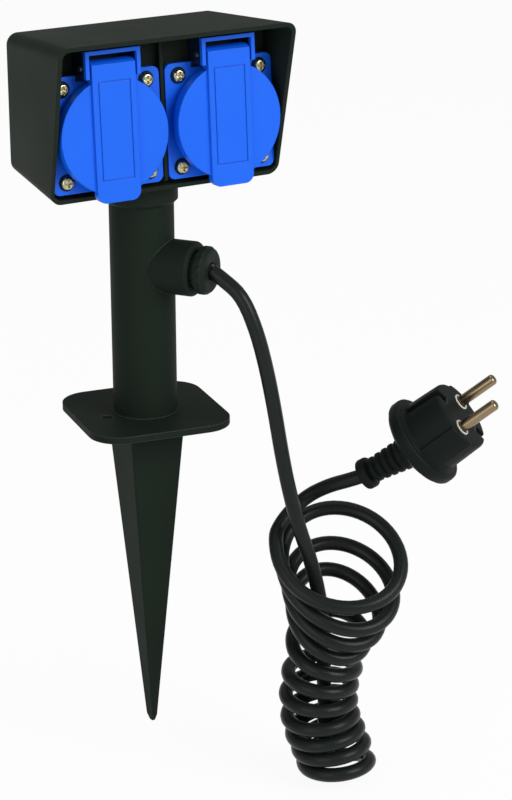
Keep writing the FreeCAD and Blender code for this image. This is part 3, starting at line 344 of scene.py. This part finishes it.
def make_hood_shade_group():
    """A mask of painted shade that is 1 on the hood behind its front frame, in Object coordinates.
    """
    group = bpy.data.node_groups.new("hood_painted_shade_mask", "ShaderNodeTree")
    new_sizes(group, hood_sizes)
    new_socket(group, "Mask", "OUTPUT", "NodeSocketFloat")
    start = group.nodes.new("NodeGroupInput")
    end = group.nodes.new("NodeGroupOutput")
    place = group.nodes.new("ShaderNodeTexCoord")
    turn = group.nodes.new("ShaderNodeVectorRotate")
    turn.rotation_type = "X_AXIS"
    turn.inputs["Center"].default_value = lean_centre
    turn.inputs["Angle"].default_value = math.radians(outlet_lean)
    split = group.nodes.new("ShaderNodeSeparateXYZ")
    group.links.new(place.outputs["Object"], turn.inputs["Vector"])
    group.links.new(turn.outputs["Vector"], split.inputs["Vector"])
    depth = add_math(group, "ADD", split.outputs["Y"], start.outputs["Frame Depth"])
    height = add_math(group, "SUBTRACT", split.outputs["Z"], start.outputs["Foot Height"])
    aside = add_math(group, "SUBTRACT", add_math(group, "ABSOLUTE", split.outputs["X"]),
                     start.outputs["Outlet Offset"])
    inward = add_math(group, "SUBTRACT", start.outputs["Half Width"],
                      add_math(group, "ABSOLUTE", aside))
    nearest = add_math(group, "MINIMUM", add_math(group, "MINIMUM", depth, height), inward)
    soft = add_node(group, "ShaderNodeMapRange", {"From Min": 0.0, "From Max": hood_edge_blur})
    group.links.new(nearest, soft.inputs["Value"])
    group.links.new(soft.outputs["Result"], end.inputs["Mask"])
    return group


hood_shade_group = make_hood_shade_group()
print("hood mask nodes:", len(hood_shade_group.nodes))

# %% Outlet finish with painted hood shade
# Near-black painted shade on the hood behind its front frame.
hood_painted_shade = (0.003, 0.009, 0.024)


def make_outlet_shaded_material():
    """The lids' blue, with near-black painted shade on the hood behind its frame."""
    material = lid_blue.copy()
    material.name = "outlet_blue_with_painted_shade"
    tree = material.node_tree
    shader = next(n for n in tree.nodes if n.type == "BSDF_PRINCIPLED")
    blue = shader.inputs["Base Color"].links[0].from_socket
    mask = tree.nodes.new("ShaderNodeGroup")
    mask.node_tree = hood_shade_group
    shaded_blue = add_blend(tree, mask.outputs["Mask"], blue, hood_painted_shade)
    tree.links.new(shaded_blue, shader.inputs["Base Color"])
    return material


outlet_blue_shaded = make_outlet_shaded_material()
print("outlet finish:", outlet_blue_shaded.name)

# %% [markdown]
# ## A finish for every node
# The CAD nodes stay where they are and only get a finish. The record already names a
# material slot for each node, so one table from slot to finish does nearly all of them,
# and a second short table holds the nodes whose finish differs from their slot's.

# %% Finish for each node
slot_finish = {
    "black_plastic": satin_black,
    "blue_plastic": lid_blue,
    "black_rubber": cord_rubber,
    "zinc": pale_zinc,
    "steel": plain_steel,
    "brass": pin_brass,
    "white_plastic": white_plastic,
    "carrier_plastic": pale_carrier,
    "foam": black_foam,
    "core_brown": core_brown,
    "core_blue": core_blue,
    "core_green": core_green,
}
own_finish = {
    "plug_earth_clips": dull_steel,
    "left_socket_body": outlet_blue_shaded,
    "right_socket_body": outlet_blue_shaded,
}
for entry in frame["record"]["subparts"]:
    name = entry["node"]
    mesh = nodes[name].data
    mesh.materials.clear()
    mesh.materials.append(own_finish.get(name, slot_finish[entry["material_slot"]]))
print("nodes with a finish:", len(nodes))

# %% [markdown]
# ## Lids
# Each lid's arm folds over the hinge in a low, soft bend. The CAD knuckle is a full round
# that clears its hood while it swings. A new lid could be drawn, but a copy of the CAD mesh
# keeps every other size: only the part above the pin is pressed down, as the bend of the
# real arm is. The copy's loose triangles are merged first, and its faces stay flat, because
# long thin triangles shade unevenly when they are smoothed.

# %% Copies of CAD pieces
merge_distance = 1e-6


def leaned(point, angle):
    """A point in metres, turned about the outlets' lean centre by an angle about X."""
    y = point.y - lean_centre.y
    z = point.z - lean_centre.z
    c = math.cos(angle)
    s = math.sin(angle)
    return Vector((point.x, lean_centre.y + y * c - z * s, lean_centre.z + y * s + z * c))


def place_piece(name, mesh, body, finish, replaced=()):
    """Puts a mesh in the scene on a body, with its finish, and hides the nodes that it stands for.
    """
    mesh.materials.clear()
    mesh.materials.append(finish)
    piece = add_object(name, mesh)
    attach(piece, body)
    if replaced:
        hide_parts(*replaced)
    return piece


def merged_copy(name, source):
    """A copy of a CAD node's mesh with its loose triangles joined into one skin."""
    mesh = source.data.copy()
    mesh.name = name
    mesh.transform(source.matrix_world)
    skin = bmesh.new()
    skin.from_mesh(mesh)
    bmesh.ops.remove_doubles(skin, verts=skin.verts, dist=merge_distance)
    for face in skin.faces:
        face.smooth = False
    skin.to_mesh(mesh)
    skin.free()
    return mesh


print("copies merge points within", merge_distance, "m")

# %% Lids
hinge_height = 164.1 * mm
bend_start = 1.3 * mm
bend_share = 0.47


def make_lid(side):
    """A copy of one CAD lid with a lower bend over the pin."""
    mesh = merged_copy(side + "_spring_lid", nodes[side + "_lid"])
    for vertex in mesh.vertices:
        place = leaned(vertex.co, math.radians(outlet_lean))
        above = place.z - hinge_height - bend_start
        if above > 0.0:
            place.z = hinge_height + bend_start + above * bend_share
            vertex.co = leaned(place, -math.radians(outlet_lean))
    return place_piece(side + "_spring_lid", mesh, side + "_lid", lid_blue,
                       (side + "_lid",))


lids = [make_lid(side) for side in ("left", "right")]
print("lids:", [lid.name for lid in lids])

# %% [markdown]
# ## Spike
# The real spike has four flat faces, and its front edge runs nearer to the middle than a
# square spike's would. A new spike could be modelled, but a copy of the CAD post keeps the
# tube, the boss and the plate. Its front edge goes to the right, more at the plate than at
# the tip, and the two faces beside it follow in proportion, so they stay flat.

# %% Spike
spike_length = 149.0 * mm
spike_turn = math.radians(-8.0)
spike_half_top = 13.7 * mm
spike_half_tip = 1.9 * mm
spike_margin = 1.1
edge_shift_top = 2.1 * mm
edge_shift_tip = 1.3 * mm
plate_margin = 0.0001


def make_post():
    """A copy of the CAD post with the spike's front edge moved inwards."""
    mesh = merged_copy("post_and_spike", nodes["spike_post"])
    c = math.cos(spike_turn)
    s = math.sin(spike_turn)
    moved = 0
    for vertex in mesh.vertices:
        depth = min(-vertex.co.z / spike_length, 1.0)
        half = spike_half_top + (spike_half_tip - spike_half_top) * depth
        x = vertex.co.x * c + vertex.co.y * s
        y = -vertex.co.x * s + vertex.co.y * c
        if depth < -plate_margin or max(abs(x), abs(y)) > spike_margin * half:
            continue
        share = max(half - x, 0.0) * max(half - y, 0.0) / (4.0 * half * half)
        shift = edge_shift_top + (edge_shift_tip - edge_shift_top) * depth
        vertex.co += camera_right * shift * share
        moved += 1
    print("spike points that follow the edge:", moved)
    return place_piece("post_and_spike", mesh, "post", worn_and_sheen_black,
                       ("spike_post",))


post_and_spike = make_post()
print("post and spike faces:", len(post_and_spike.data.polygons))

# %% [markdown]
# ## Screw shade rings
# Each screw sits in a small recess in the blue flange, and a thin black ring round its
# head is painted shade of that recess. Eight rings could be modelled one by one, but one
# ring made by nodes and set on the eight screw places keeps all rings equal, and one
# number changes them all.

# %% Shade rings by nodes
def make_shade_ring_tree():
    """A node tree that sets one ring on each of its places, and its two size inputs."""
    tree = bpy.data.node_groups.new("screw_shade_ring_tree", "GeometryNodeTree")
    new_socket(tree, "Places", "INPUT", "NodeSocketGeometry")
    radius = new_socket(tree, "Shade Ring Radius", "INPUT", "NodeSocketFloat", 0.003)
    thickness = new_socket(tree, "Section Radius", "INPUT", "NodeSocketFloat", 0.0003)
    new_socket(tree, "Rings", "OUTPUT", "NodeSocketGeometry")
    start = tree.nodes.new("NodeGroupInput")
    end = tree.nodes.new("NodeGroupOutput")
    path = add_node(tree, "GeometryNodeCurvePrimitiveCircle", {"Resolution": 40})
    section = add_node(tree, "GeometryNodeCurvePrimitiveCircle", {"Resolution": 10})
    ring = tree.nodes.new("GeometryNodeCurveToMesh")
    upright = math.radians(90.0 - outlet_lean)
    spread = add_node(tree, "GeometryNodeInstanceOnPoints", {"Rotation": (upright, 0.0, 0.0)})
    realise = tree.nodes.new("GeometryNodeRealizeInstances")
    finish = add_node(tree, "GeometryNodeSetMaterial", {"Material": satin_black})
    link = tree.links.new
    link(start.outputs["Shade Ring Radius"], path.inputs["Radius"])
    link(start.outputs["Section Radius"], section.inputs["Radius"])
    link(path.outputs["Curve"], ring.inputs["Curve"])
    link(section.outputs["Curve"], ring.inputs["Profile Curve"])
    link(start.outputs["Places"], spread.inputs["Points"])
    link(ring.outputs["Mesh"], spread.inputs["Instance"])
    link(spread.outputs["Instances"], realise.inputs["Geometry"])
    link(realise.outputs["Geometry"], finish.inputs["Geometry"])
    link(finish.outputs["Geometry"], end.inputs["Rings"])
    return tree, radius.identifier, thickness.identifier


shade_ring_tree, radius_input, section_input = make_shade_ring_tree()
print("seat tree nodes:", len(shade_ring_tree.nodes))

# %% Screw shade rings
# The eight black rings are painted shade in the screws' recesses.
screw_spacing = 38.6
outlet_offset = 26.8
shade_ring_rise = 0.1
shade_ring_radius = 3.2 * mm
shade_ring_section = 0.36 * mm


def screw_places():
    """The middles of the eight screws on the leaned flanges, in metres."""
    half = screw_spacing / 2.0
    places = []
    for side in (-1.0, 1.0):
        for right in (-half, half):
            for up in (-half, half):
                x = side * outlet_offset + right
                place = Vector((x, flange_face - shade_ring_rise, outlet_height + up)) * mm
                places.append(tuple(leaned(place, -math.radians(outlet_lean))))
    return places


def make_screw_shade_rings():
    """Eight black rings of painted shade round the screw heads, turned into a plain mesh."""
    points = bpy.data.meshes.new("screw_shade_rings")
    points.from_pydata(screw_places(), [], [])
    seats = add_object("screw_shade_rings", points)
    modifier = seats.modifiers.new("rings", "NODES")
    modifier.node_group = shade_ring_tree
    modifier[radius_input] = shade_ring_radius
    modifier[section_input] = shade_ring_section
    evaluated = seats.evaluated_get(bpy.context.evaluated_depsgraph_get())
    shaped = bpy.data.meshes.new_from_object(evaluated)
    seats.modifiers.remove(modifier)
    seats.data = shaped
    shaped.materials.clear()
    shaped.materials.append(satin_black)
    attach(seats, "post")
    return seats


screw_shade_rings = make_screw_shade_rings()
print("screw seat faces:", len(screw_shade_rings.data.polygons))

# %% [markdown]
# ## Gland and pin collars
# The cable gland's nut and the pale collars at the pins' roots are round. They could be cut
# from cylinders, but each is drawn as half a section, as a lathe would cut it, and spun
# about its own axis, so one list of numbers holds its whole shape. The nut's grip also has
# shallow flutes, which the same spin makes by easing the radius in and out.

# %% Turned meshes
def turned_mesh(name, section, origin, axis, segments, flutes=0, flute_depth=0.0):
    """A mesh spun from (radius, distance, grip) rows about an axis, all in mm."""
    turn = axis.normalized().to_track_quat("Z", "Y").to_matrix()
    vertices = []
    for radius, along, grip in section:
        for i in range(segments):
            angle = 2.0 * math.pi * i / segments
            dip = flute_depth * grip * max(0.0, math.cos(flutes * angle)) ** 2
            eased = radius - dip
            local = Vector((eased * math.cos(angle), eased * math.sin(angle), along))
            vertices.append(tuple((origin + turn @ local) * mm))
    faces = []
    for row in range(len(section)):
        here = row * segments
        above = (row + 1) % len(section) * segments
        for i in range(segments):
            j = (i + 1) % segments
            faces.append((here + i, here + j, above + j, above + i))
    mesh = bpy.data.meshes.new(name)
    mesh.from_pydata(vertices, [], faces)
    mesh.validate()
    mesh.update()
    for polygon in mesh.polygons:
        polygon.use_smooth = True
    return mesh


def joined_mesh(name, meshes):
    """One mesh from several."""
    whole = bmesh.new()
    for part in meshes:
        whole.from_mesh(part)
    mesh = bpy.data.meshes.new(name)
    whole.to_mesh(mesh)
    whole.free()
    return mesh


print("lathe helpers ready")

# %% Gland cap
gland_angle = math.radians(-53.0)
gland_axis = Vector((math.cos(gland_angle), math.sin(gland_angle), 0.0))
gland_height = 70.0
gland_segments = 168
gland_flutes = 14
gland_flute_depth = 0.55
gland_section = [
    (3.3, 19.2, 0.0),
    (8.4, 19.2, 0.0),
    (8.4, 27.6, 0.0),
    (8.6, 27.75, 0.0),
    (9.6, 27.8, 0.0),
    (10.3, 28.1, 0.3),
    (10.55, 28.7, 1.0),
    (10.55, 30.9, 1.0),
    (10.45, 31.3, 0.4),
    (10.0, 31.5, 0.0),
    (9.75, 31.8, 0.0),
    (9.6, 32.5, 0.0),
    (9.0, 33.0, 0.0),
    (8.2, 33.1, 0.0),
    (4.6, 33.1, 0.0),
    (3.9, 32.9, 0.0),
    (3.4, 32.3, 0.0),
]
gland_mesh = turned_mesh("gland_cap", gland_section, Vector((0.0, 0.0, gland_height)),
                         gland_axis, gland_segments, gland_flutes, gland_flute_depth)
gland_cap = place_piece("gland_cap", gland_mesh, "post", satin_black,
                        ("gland_nut",))
print("gland cap faces:", len(gland_cap.data.polygons))

# %% Pin collars
plug_face = Vector((104.5, -93.5, 10.1))
plug_axis = Vector((0.543, -0.542, 0.641)).normalized()
pin_line = Vector((0.523, 0.804, 0.285))
pin_line = (pin_line - plug_axis * pin_line.dot(plug_axis)).normalized()
pin_offset = 9.5
collar_segments = 48
collar_section = [
    (2.9, -1.6, 0.0),
    (3.7, -1.6, 0.0),
    (3.7, 0.3, 0.0),
    (3.6, 0.45, 0.0),
    (3.4, 0.5, 0.0),
    (3.1, 0.45, 0.0),
    (2.9, 0.25, 0.0),
]
pin_roots = [plug_face + pin_line * side * pin_offset for side in (-1.0, 1.0)]
collars = [turned_mesh("collar", collar_section, root, plug_axis, collar_segments)
           for root in pin_roots]
pin_collars = place_piece("pin_collars", joined_mesh("pin_collars", collars), "post",
                          white_plastic, ("plug_pin_rings",))
print("pin collars:", len(collars))

# %% [markdown]
# ## Plug body
# The real plug's body is not round. On each of its two clip sides a wide shallow recess
# runs from the face back to the grip flange, with the narrow clip slot in its middle, and
# between the recesses stand two rounded ribs. Cutters could carve this from a cone, but
# cross-sections along the axis are surer: every section has the same number of points, so
# they join up ring by ring without a cut, and the recesses fade out into the flange.

# %% Plug section
rib_half_angle = 22.0
rib_points = 8
recess_depth = 1.3
recess_points = 12
recess_corner = 1.6
corner_turn = 0.7
corner_rounding = 0.12
slot_half_width = 2.1
slot_floor = 9.0


def quarter_section(radius, depth, slotted):
    """One quarter of a section in mm, from a rib's middle to a slot's middle."""
    inner = radius - depth
    recess_start = rib_half_angle + recess_corner
    rib_end = rib_half_angle - recess_corner
    points = [(radius, rib_end * i / rib_points) for i in range(rib_points + 1)]
    points.append((radius - depth * corner_rounding, rib_half_angle - corner_turn))
    points.append((inner + depth * corner_rounding, rib_half_angle + corner_turn))
    span = math.degrees(math.acos(slot_half_width / inner)) - recess_start
    for i in range(recess_points + 1):
        points.append((inner, recess_start + span * i / recess_points))
    flat = [(r * math.cos(math.radians(a)), r * math.sin(math.radians(a))) for r, a in points]
    flat.append((slot_half_width, slot_floor if slotted else flat[-1][1]))
    return flat


def plug_section(radius, depth, slotted):
    """The whole closed section, from four mirrored quarters."""
    quarter = quarter_section(radius, depth, slotted)
    second = [(-x, y) for x, y in reversed(quarter)]
    third = [(-x, -y) for x, y in quarter[1:]]
    fourth = [(x, -y) for x, y in reversed(quarter)]
    return quarter + second[:-1] + [(-radius, 0.0)] + third + fourth[:-1]


print("points in a plug section:", len(plug_section(18.0, recess_depth, True)))

# %% Plug levels
# Each row is a distance along the axis, a radius, a recess depth, and whether it is slotted.
plug_back = -29.8
plug_levels = [
    (plug_back, 8.0, 0.0, False),
    (-26.2, 16.6, 0.0, False),
    (-25.0, 18.9, 0.0, False),
    (-24.0, 20.1, 0.0, False),
    (-23.0, 20.6, 0.0, False),
    (-20.4, 20.6, 0.0, False),
    (-19.5, 20.4, 0.0, False),
    (-19.0, 19.9, 0.0, False),
    (-18.8, 19.2, 0.0, False),
    (-18.8, 18.05, 0.0, False),
    (-18.3, 18.0, 0.0, False),
    (-18.1, 17.98, recess_depth * 0.88, False),
    (-17.8, 17.96, recess_depth, False),
    (-17.6, 17.95, recess_depth, False),
    (-17.6, 17.95, recess_depth, True),
    (-9.0, 17.65, recess_depth, True),
    (-1.6, 17.35, recess_depth, True),
    (-0.8, 17.2, recess_depth, True),
    (-0.3, 16.95, recess_depth, True),
    (-0.06, 16.6, recess_depth, True),
    (0.0, 16.2, recess_depth, True),
]
print("plug levels:", len(plug_levels))

# %% Ring helpers
pin_hole_radius = 3.72
pin_hole_points = 40
side_line = plug_axis.cross(pin_line)


def add_ring(shell, points, along):
    """Adds a ring of points across the plug's axis, at a distance along it."""
    corner = plug_face + plug_axis * along
    return [shell.verts.new((corner + pin_line * x + side_line * y) * mm) for x, y in points]


def ring_edges(shell, ring):
    """The edges between the neighbours of a closed ring."""
    return [shell.edges.get((a, b)) for a, b in zip(ring, ring[1:] + ring[:1])]


def join_rings(shell, below, above):
    """Closes the band between two rings with equal numbers of points."""
    for i in range(len(below)):
        j = (i + 1) % len(below)
        shell.faces.new((below[i], below[j], above[j], above[i]))


def hole_circle(side):
    """The round mouth of one pin's hole, in the plane of the face."""
    turns = [2.0 * math.pi * i / pin_hole_points for i in range(pin_hole_points)]
    return [(side * pin_offset + pin_hole_radius * math.cos(a), pin_hole_radius * math.sin(a))
            for a in turns]


print("points round each pin's hole:", len(hole_circle(1.0)))

# %% Plug body
pin_hole_depth = 1.6
same_place = 1e-7
plug_sharp = math.radians(32.0)


def make_plug_shell():
    """The plug's body from its neck to its face, with two blind holes round the pins."""
    shell = bmesh.new()
    rings = [add_ring(shell, plug_section(radius, depth, slotted), along)
             for along, radius, depth, slotted in plug_levels]
    for below, above in zip(rings, rings[1:]):
        join_rings(shell, below, above)
    shell.faces.new(list(reversed(rings[0])))
    rim = ring_edges(shell, rings[-1])
    for side in (-1.0, 1.0):
        mouth = add_ring(shell, hole_circle(side), 0.0)
        floor = add_ring(shell, hole_circle(side), -pin_hole_depth)
        join_rings(shell, mouth, floor)
        shell.faces.new(floor)
        rim += ring_edges(shell, mouth)
    bmesh.ops.triangle_fill(shell, use_beauty=True, edges=rim)
    bmesh.ops.remove_doubles(shell, verts=shell.verts, dist=same_place)
    bmesh.ops.recalc_face_normals(shell, faces=shell.faces)
    for face in shell.faces:
        face.smooth = True
    mesh = bpy.data.meshes.new("plug_shell")
    shell.to_mesh(mesh)
    shell.free()
    mesh.set_sharp_from_angle(angle=plug_sharp)
    return mesh


plug_shell = place_piece("plug_shell", make_plug_shell(), "post", plug_rubber,
                         ("plug_body",))
print("plug shell faces:", len(plug_shell.data.polygons))

# %% [markdown]
# ## Strain relief
# On the real cord a soft ribbed sleeve behind the plug lets it bend without a kink. Its
# ribs grow towards the plug, and a thick smooth collar closes the other end. The ribs could
# be rings on a tube, but the sleeve is one moulding, so collar, ribs and neck are one
# section that is spun like the gland's, with the ribs' rows made in a loop.

# %% Strain relief
relief_collar = Vector((75.7, -64.1, -21.0))
relief_end = plug_face + plug_axis * plug_back
relief_axis = (relief_end - relief_collar).normalized()
collar_half = 2.3
relief_start = relief_collar - relief_axis * collar_half
relief_segments = 72
relief_ribs = 5
rib_base = 5.1
rib_growth = 1.75
rib_groove = 1.25
neck_share = 0.4
collar_length = 4.6
relief_sharp = math.radians(40.0)
rib_rows = [(-rib_groove, 0.06), (-rib_groove, 0.34), (0.1, 0.40),
            (0.42, 0.50), (0.45, 0.80), (0.1, 0.96)]


def relief_section():
    """Half a section of the relief in mm: collar, ribs and neck."""
    length = (relief_end - relief_start).length
    rows = [(3.3, 0.5), (3.7, 0.0), (6.0, 0.0), (6.7, 0.3), (7.0, 1.0)]
    rows += [(7.0, collar_length - 1.0), (6.7, collar_length - 0.3), (6.1, collar_length)]
    pitch = (length - collar_length) / (relief_ribs + neck_share)
    for i in range(relief_ribs):
        start = collar_length + pitch * i
        radius = rib_base + rib_growth * (i + 0.5) / relief_ribs
        rows += [(radius + rise, start + pitch * share) for rise, share in rib_rows]
    rows += [(6.6, length - 1.4), (7.2, length - 0.5), (7.6, length + 1.5), (3.3, length + 1.5)]
    return [(radius, along, 0.0) for radius, along in rows]


relief_mesh = turned_mesh("plug_relief", relief_section(), relief_start, relief_axis,
                          relief_segments)
relief_mesh.set_sharp_from_angle(angle=relief_sharp)
plug_relief = place_piece("plug_relief", relief_mesh, "post", plug_rubber,
                          ("plug_strain_relief",))
print("relief faces:", len(relief_mesh.polygons))

# %% [markdown]
# ## The cord
# The lead is one rubber cord from the gland to the plug. It could be swept along a mesh
# path, but a curve with a round bevel is the natural tool: a NURBS spline glides past its
# control points, which gives the relaxed bends of rubber. The route's free stretches are
# listed points. The coil's turns come from a formula, because each turn repeats the last
# one a little lower, smaller and flatter, and a few soft terms let it hang as real rubber
# does: the first loop gives way, the third is lifted at the rear, and the last ones settle.

# %% Coil sizes
coil_turns = 10.5
coil_radius = 14.6
coil_flare = 12.8
coil_flare_turns = 4.63
coil_tilt = math.radians(44.0)
coil_middle_right = 80.9
coil_middle_front = 20.0
coil_top = -53.0
coil_pitch = 8.6
coil_flare_pitch = 4.46
roll_middle = 0.6
roll_swing = 14.1
roll_turn = 2.5
roll_turns = 12.6
sway_swing = 4.7
sway_turn = 0.82
sway_turns = 10.7
slack_swing = 2.2
slack_turns = 0.38
lifted_turn = 3.2
lifted_span = 0.8
rear_lift = 9.5
settled_turn = 7.4
settled_span = 1.5
settled_drop = 1.8
rise_turn = 7.0
settled_rise = 2.0
points_per_turn = 14
half_step = math.pi / points_per_turn
hug_share = 0.985
hug = 1.0 / math.cos(half_step) ** 2 * hug_share
print("control points stand outside their turn by a factor of", round(hug, 3))

# %% Coil formula
def swing(turn, middle, period):
    """A slow wave along the coil that is 1 at its middle turn."""
    return math.cos(2.0 * math.pi * (turn - middle) / period)


def near(turn, middle, span):
    """A soft bump along the coil that is 1 at its middle turn."""
    return math.exp(-((turn - middle) / span) ** 2)


def coil_point(turn, outward=1.0):
    """A point of the coil, in mm; outward stretches it from the coil's own axis."""
    up = Vector((0.0, 0.0, 1.0))
    flared = min(max(turn, 0.0), coil_flare_turns)
    flare = math.cos(math.pi * flared / (2.0 * coil_flare_turns))
    radius = (coil_radius + coil_flare * flare * flare) * outward
    tilt = coil_tilt * flare
    roll = math.radians(roll_middle + roll_swing * swing(turn, roll_turn, roll_turns))
    sway = sway_swing * swing(turn, sway_turn, sway_turns)
    slack = slack_swing * math.sin(math.pi * min(max(turn, 0.0) / slack_turns, 1.0))
    height = coil_top - coil_pitch * turn - coil_flare_pitch * flared
    centre = camera_right * (coil_middle_right + sway - slack)
    centre += up * height - camera_away * coil_middle_front
    angle = math.pi + 2.0 * math.pi * turn
    lift = rear_lift * near(turn, lifted_turn, lifted_span) * (1.0 + math.sin(angle)) / 2.0
    drop = settled_drop * near(turn, settled_turn, settled_span)
    rise = settled_rise * min(max((turn - rise_turn) / (coil_turns - rise_turn), 0.0), 1.0)
    centre += up * (lift - drop + rise)
    across = camera_right * math.cos(roll) - up * math.sin(roll)
    rear = camera_away * math.cos(tilt) + up * math.sin(tilt)
    return centre + across * (radius * math.cos(angle)) + rear * (radius * math.sin(angle))


coil_steps = int(coil_turns * points_per_turn)
coil_route = [coil_point(coil_turns - i / points_per_turn, hug) for i in range(coil_steps + 1)]
print("coil points:", len(coil_route))

# %% Cord route
gland_exit = Vector((19.92, -26.43, 70.0))
lead_route = [gland_exit] + [Vector(place) for place in (
    (22.9, -30.6, 66.9),
    (27.4, -39.2, 61.1),
    (31.4, -44.4, 46.5),
    (34.3, -47.7, 30.0),
    (36.7, -50.4, 11.5),
    (38.7, -52.7, -7.5),
    (41.7, -54.5, -26.5),
    (45.9, -55.8, -44.0),
    (51.4, -56.6, -60.0),
    (55.9, -56.8, -78.0),
    (58.4, -56.5, -98.0),
    (58.4, -56.0, -118.0),
    (60.3, -54.3, -130.0),
    (60.3, -54.3, -150.2),
    (60.8, -54.2, -158.5),
    (66.0, -50.0, -163.0),
    (74.0, -52.5, -162.8),
    (78.5, -58.5, -161.2),
)]
plug_lead_route = [Vector(place) for place in (
    (43.4, -42.5, -46.9),
    (50.1, -41.1, -41.4),
    (58.6, -42.8, -34.9),
    (64.6, -50.8, -28.8),
    (70.1, -58.6, -24.9),
    (74.4, -62.7, -22.3),
)]
cord_route = lead_route + coil_route + plug_lead_route
control_length = sum((b - a).length for a, b in zip(cord_route, cord_route[1:]))
print("cord points:", len(cord_route), "control length in mm:", round(control_length))

# %% Cord
cord_diameter = 6.5 * mm


def make_cord(name, route, diameter, finish):
    """One open NURBS spline with a round section; the order is set after its points."""
    curve = bpy.data.curves.new(name, "CURVE")
    curve.dimensions = "3D"
    curve.bevel_depth = diameter / 2.0
    curve.bevel_resolution = 6
    curve.use_fill_caps = True
    spline = curve.splines.new("NURBS")
    spline.points.add(len(route) - 1)
    for point, place in zip(spline.points, route):
        point.co = (*(place * mm), 1.0)
    spline.order_u = 3
    spline.use_endpoint_u = True
    spline.resolution_u = 4
    curve.materials.append(finish)
    return add_object(name, curve)


cord = make_cord("rubber_cord", cord_route, cord_diameter, cord_rubber)
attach(cord, "post")
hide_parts("cord_lead", "cord_coil", "cord_plug_lead")

# %% [markdown]
# ## Floor and light
# The photograph has a pure white ground and soft light from the front. More light would
# turn the ground white, but it would grey the black plastic too. So the floor is a plain
# pale sheet that takes the object's shadow, and only to the camera and in reflections it
# is blended towards white. The world is a plain grey sky for every ray, which keeps black
# plastic black where the camera looks along it.

# %% Floor finish
floor_grey = 0.90
floor_roughness = 0.9
floor_white_share = 0.93


def seen_directly(tree):
    """A value that is 1 for camera, glossy and transmission rays."""
    path = tree.nodes.new("ShaderNodeLightPath")
    either = add_math(tree, "MAXIMUM", path.outputs["Is Camera Ray"],
                      path.outputs["Is Glossy Ray"])
    return add_math(tree, "MAXIMUM", either, path.outputs["Is Transmission Ray"])


def make_floor_material():
    """A pale matt surface that blends towards white where it is seen directly."""
    material = bpy.data.materials.new("pale_floor")
    material.use_nodes = True
    tree = material.node_tree
    shader = tree.nodes["Principled BSDF"]
    shader.inputs["Base Color"].default_value = (floor_grey, floor_grey, floor_grey, 1.0)
    shader.inputs["Roughness"].default_value = floor_roughness
    white = add_node(tree, "ShaderNodeEmission", {"Strength": 1.0})
    blend = tree.nodes.new("ShaderNodeMixShader")
    share = add_math(tree, "MULTIPLY", seen_directly(tree), floor_white_share)
    tree.links.new(share, blend.inputs["Fac"])
    tree.links.new(shader.outputs["BSDF"], blend.inputs[1])
    tree.links.new(white.outputs["Emission"], blend.inputs[2])
    tree.links.new(blend.outputs["Shader"], tree.nodes["Material Output"].inputs["Surface"])
    return material


floor_finish = make_floor_material()
print("floor finish:", floor_finish.name)

# %% Floor
floor_level = cad_box[0].z - 0.0013
floor_half_width = 40.0


def make_floor():
    """A wide sheet below the object."""
    mesh = bpy.data.meshes.new("floor")
    corners = [(x * floor_half_width, y * floor_half_width, floor_level)
               for x, y in ((-1, -1), (1, -1), (1, 1), (-1, 1))]
    mesh.from_pydata(corners, [], [(0, 1, 2, 3)])
    mesh.materials.append(floor_finish)
    return add_object("floor", mesh)


floor = make_floor()
print("floor at", round(floor_level, 4))

# %% Lamps
lamp_aim = Vector((0.03, 0.0, 0.02))


def make_lamp(name, place, size, power):
    """A large square area lamp that looks at the object."""
    data = bpy.data.lights.new(name, "AREA")
    data.shape = "SQUARE"
    data.size = size
    data.energy = power
    lamp = add_object(name, data)
    lamp.location = place
    lamp.rotation_mode = "QUATERNION"
    lamp.rotation_quaternion = (lamp_aim - Vector(place)).to_track_quat("-Z", "Y")
    return lamp


lamps = [
    make_lamp("key", (0.7, -1.5, 1.0), 1.0, 24.0),
    make_lamp("fill", (-1.4, -0.9, 0.5), 1.2, 7.5),
    make_lamp("top", (0.0, 0.3, 1.8), 1.4, 6.0),
]
print("lamps:", [lamp.name for lamp in lamps])

# %% World
sky_strength = 0.40


def make_world():
    """An even grey sky."""
    world = bpy.data.worlds.new("studio")
    bpy.context.scene.world = world
    world.use_nodes = True
    sky = world.node_tree.nodes["Background"]
    sky.inputs["Color"].default_value = (1.0, 1.0, 1.0, 1.0)
    sky.inputs["Strength"].default_value = sky_strength
    return world


world = make_world()
bpy.context.scene.view_settings.view_transform = "Standard"
print("world:", world.name)
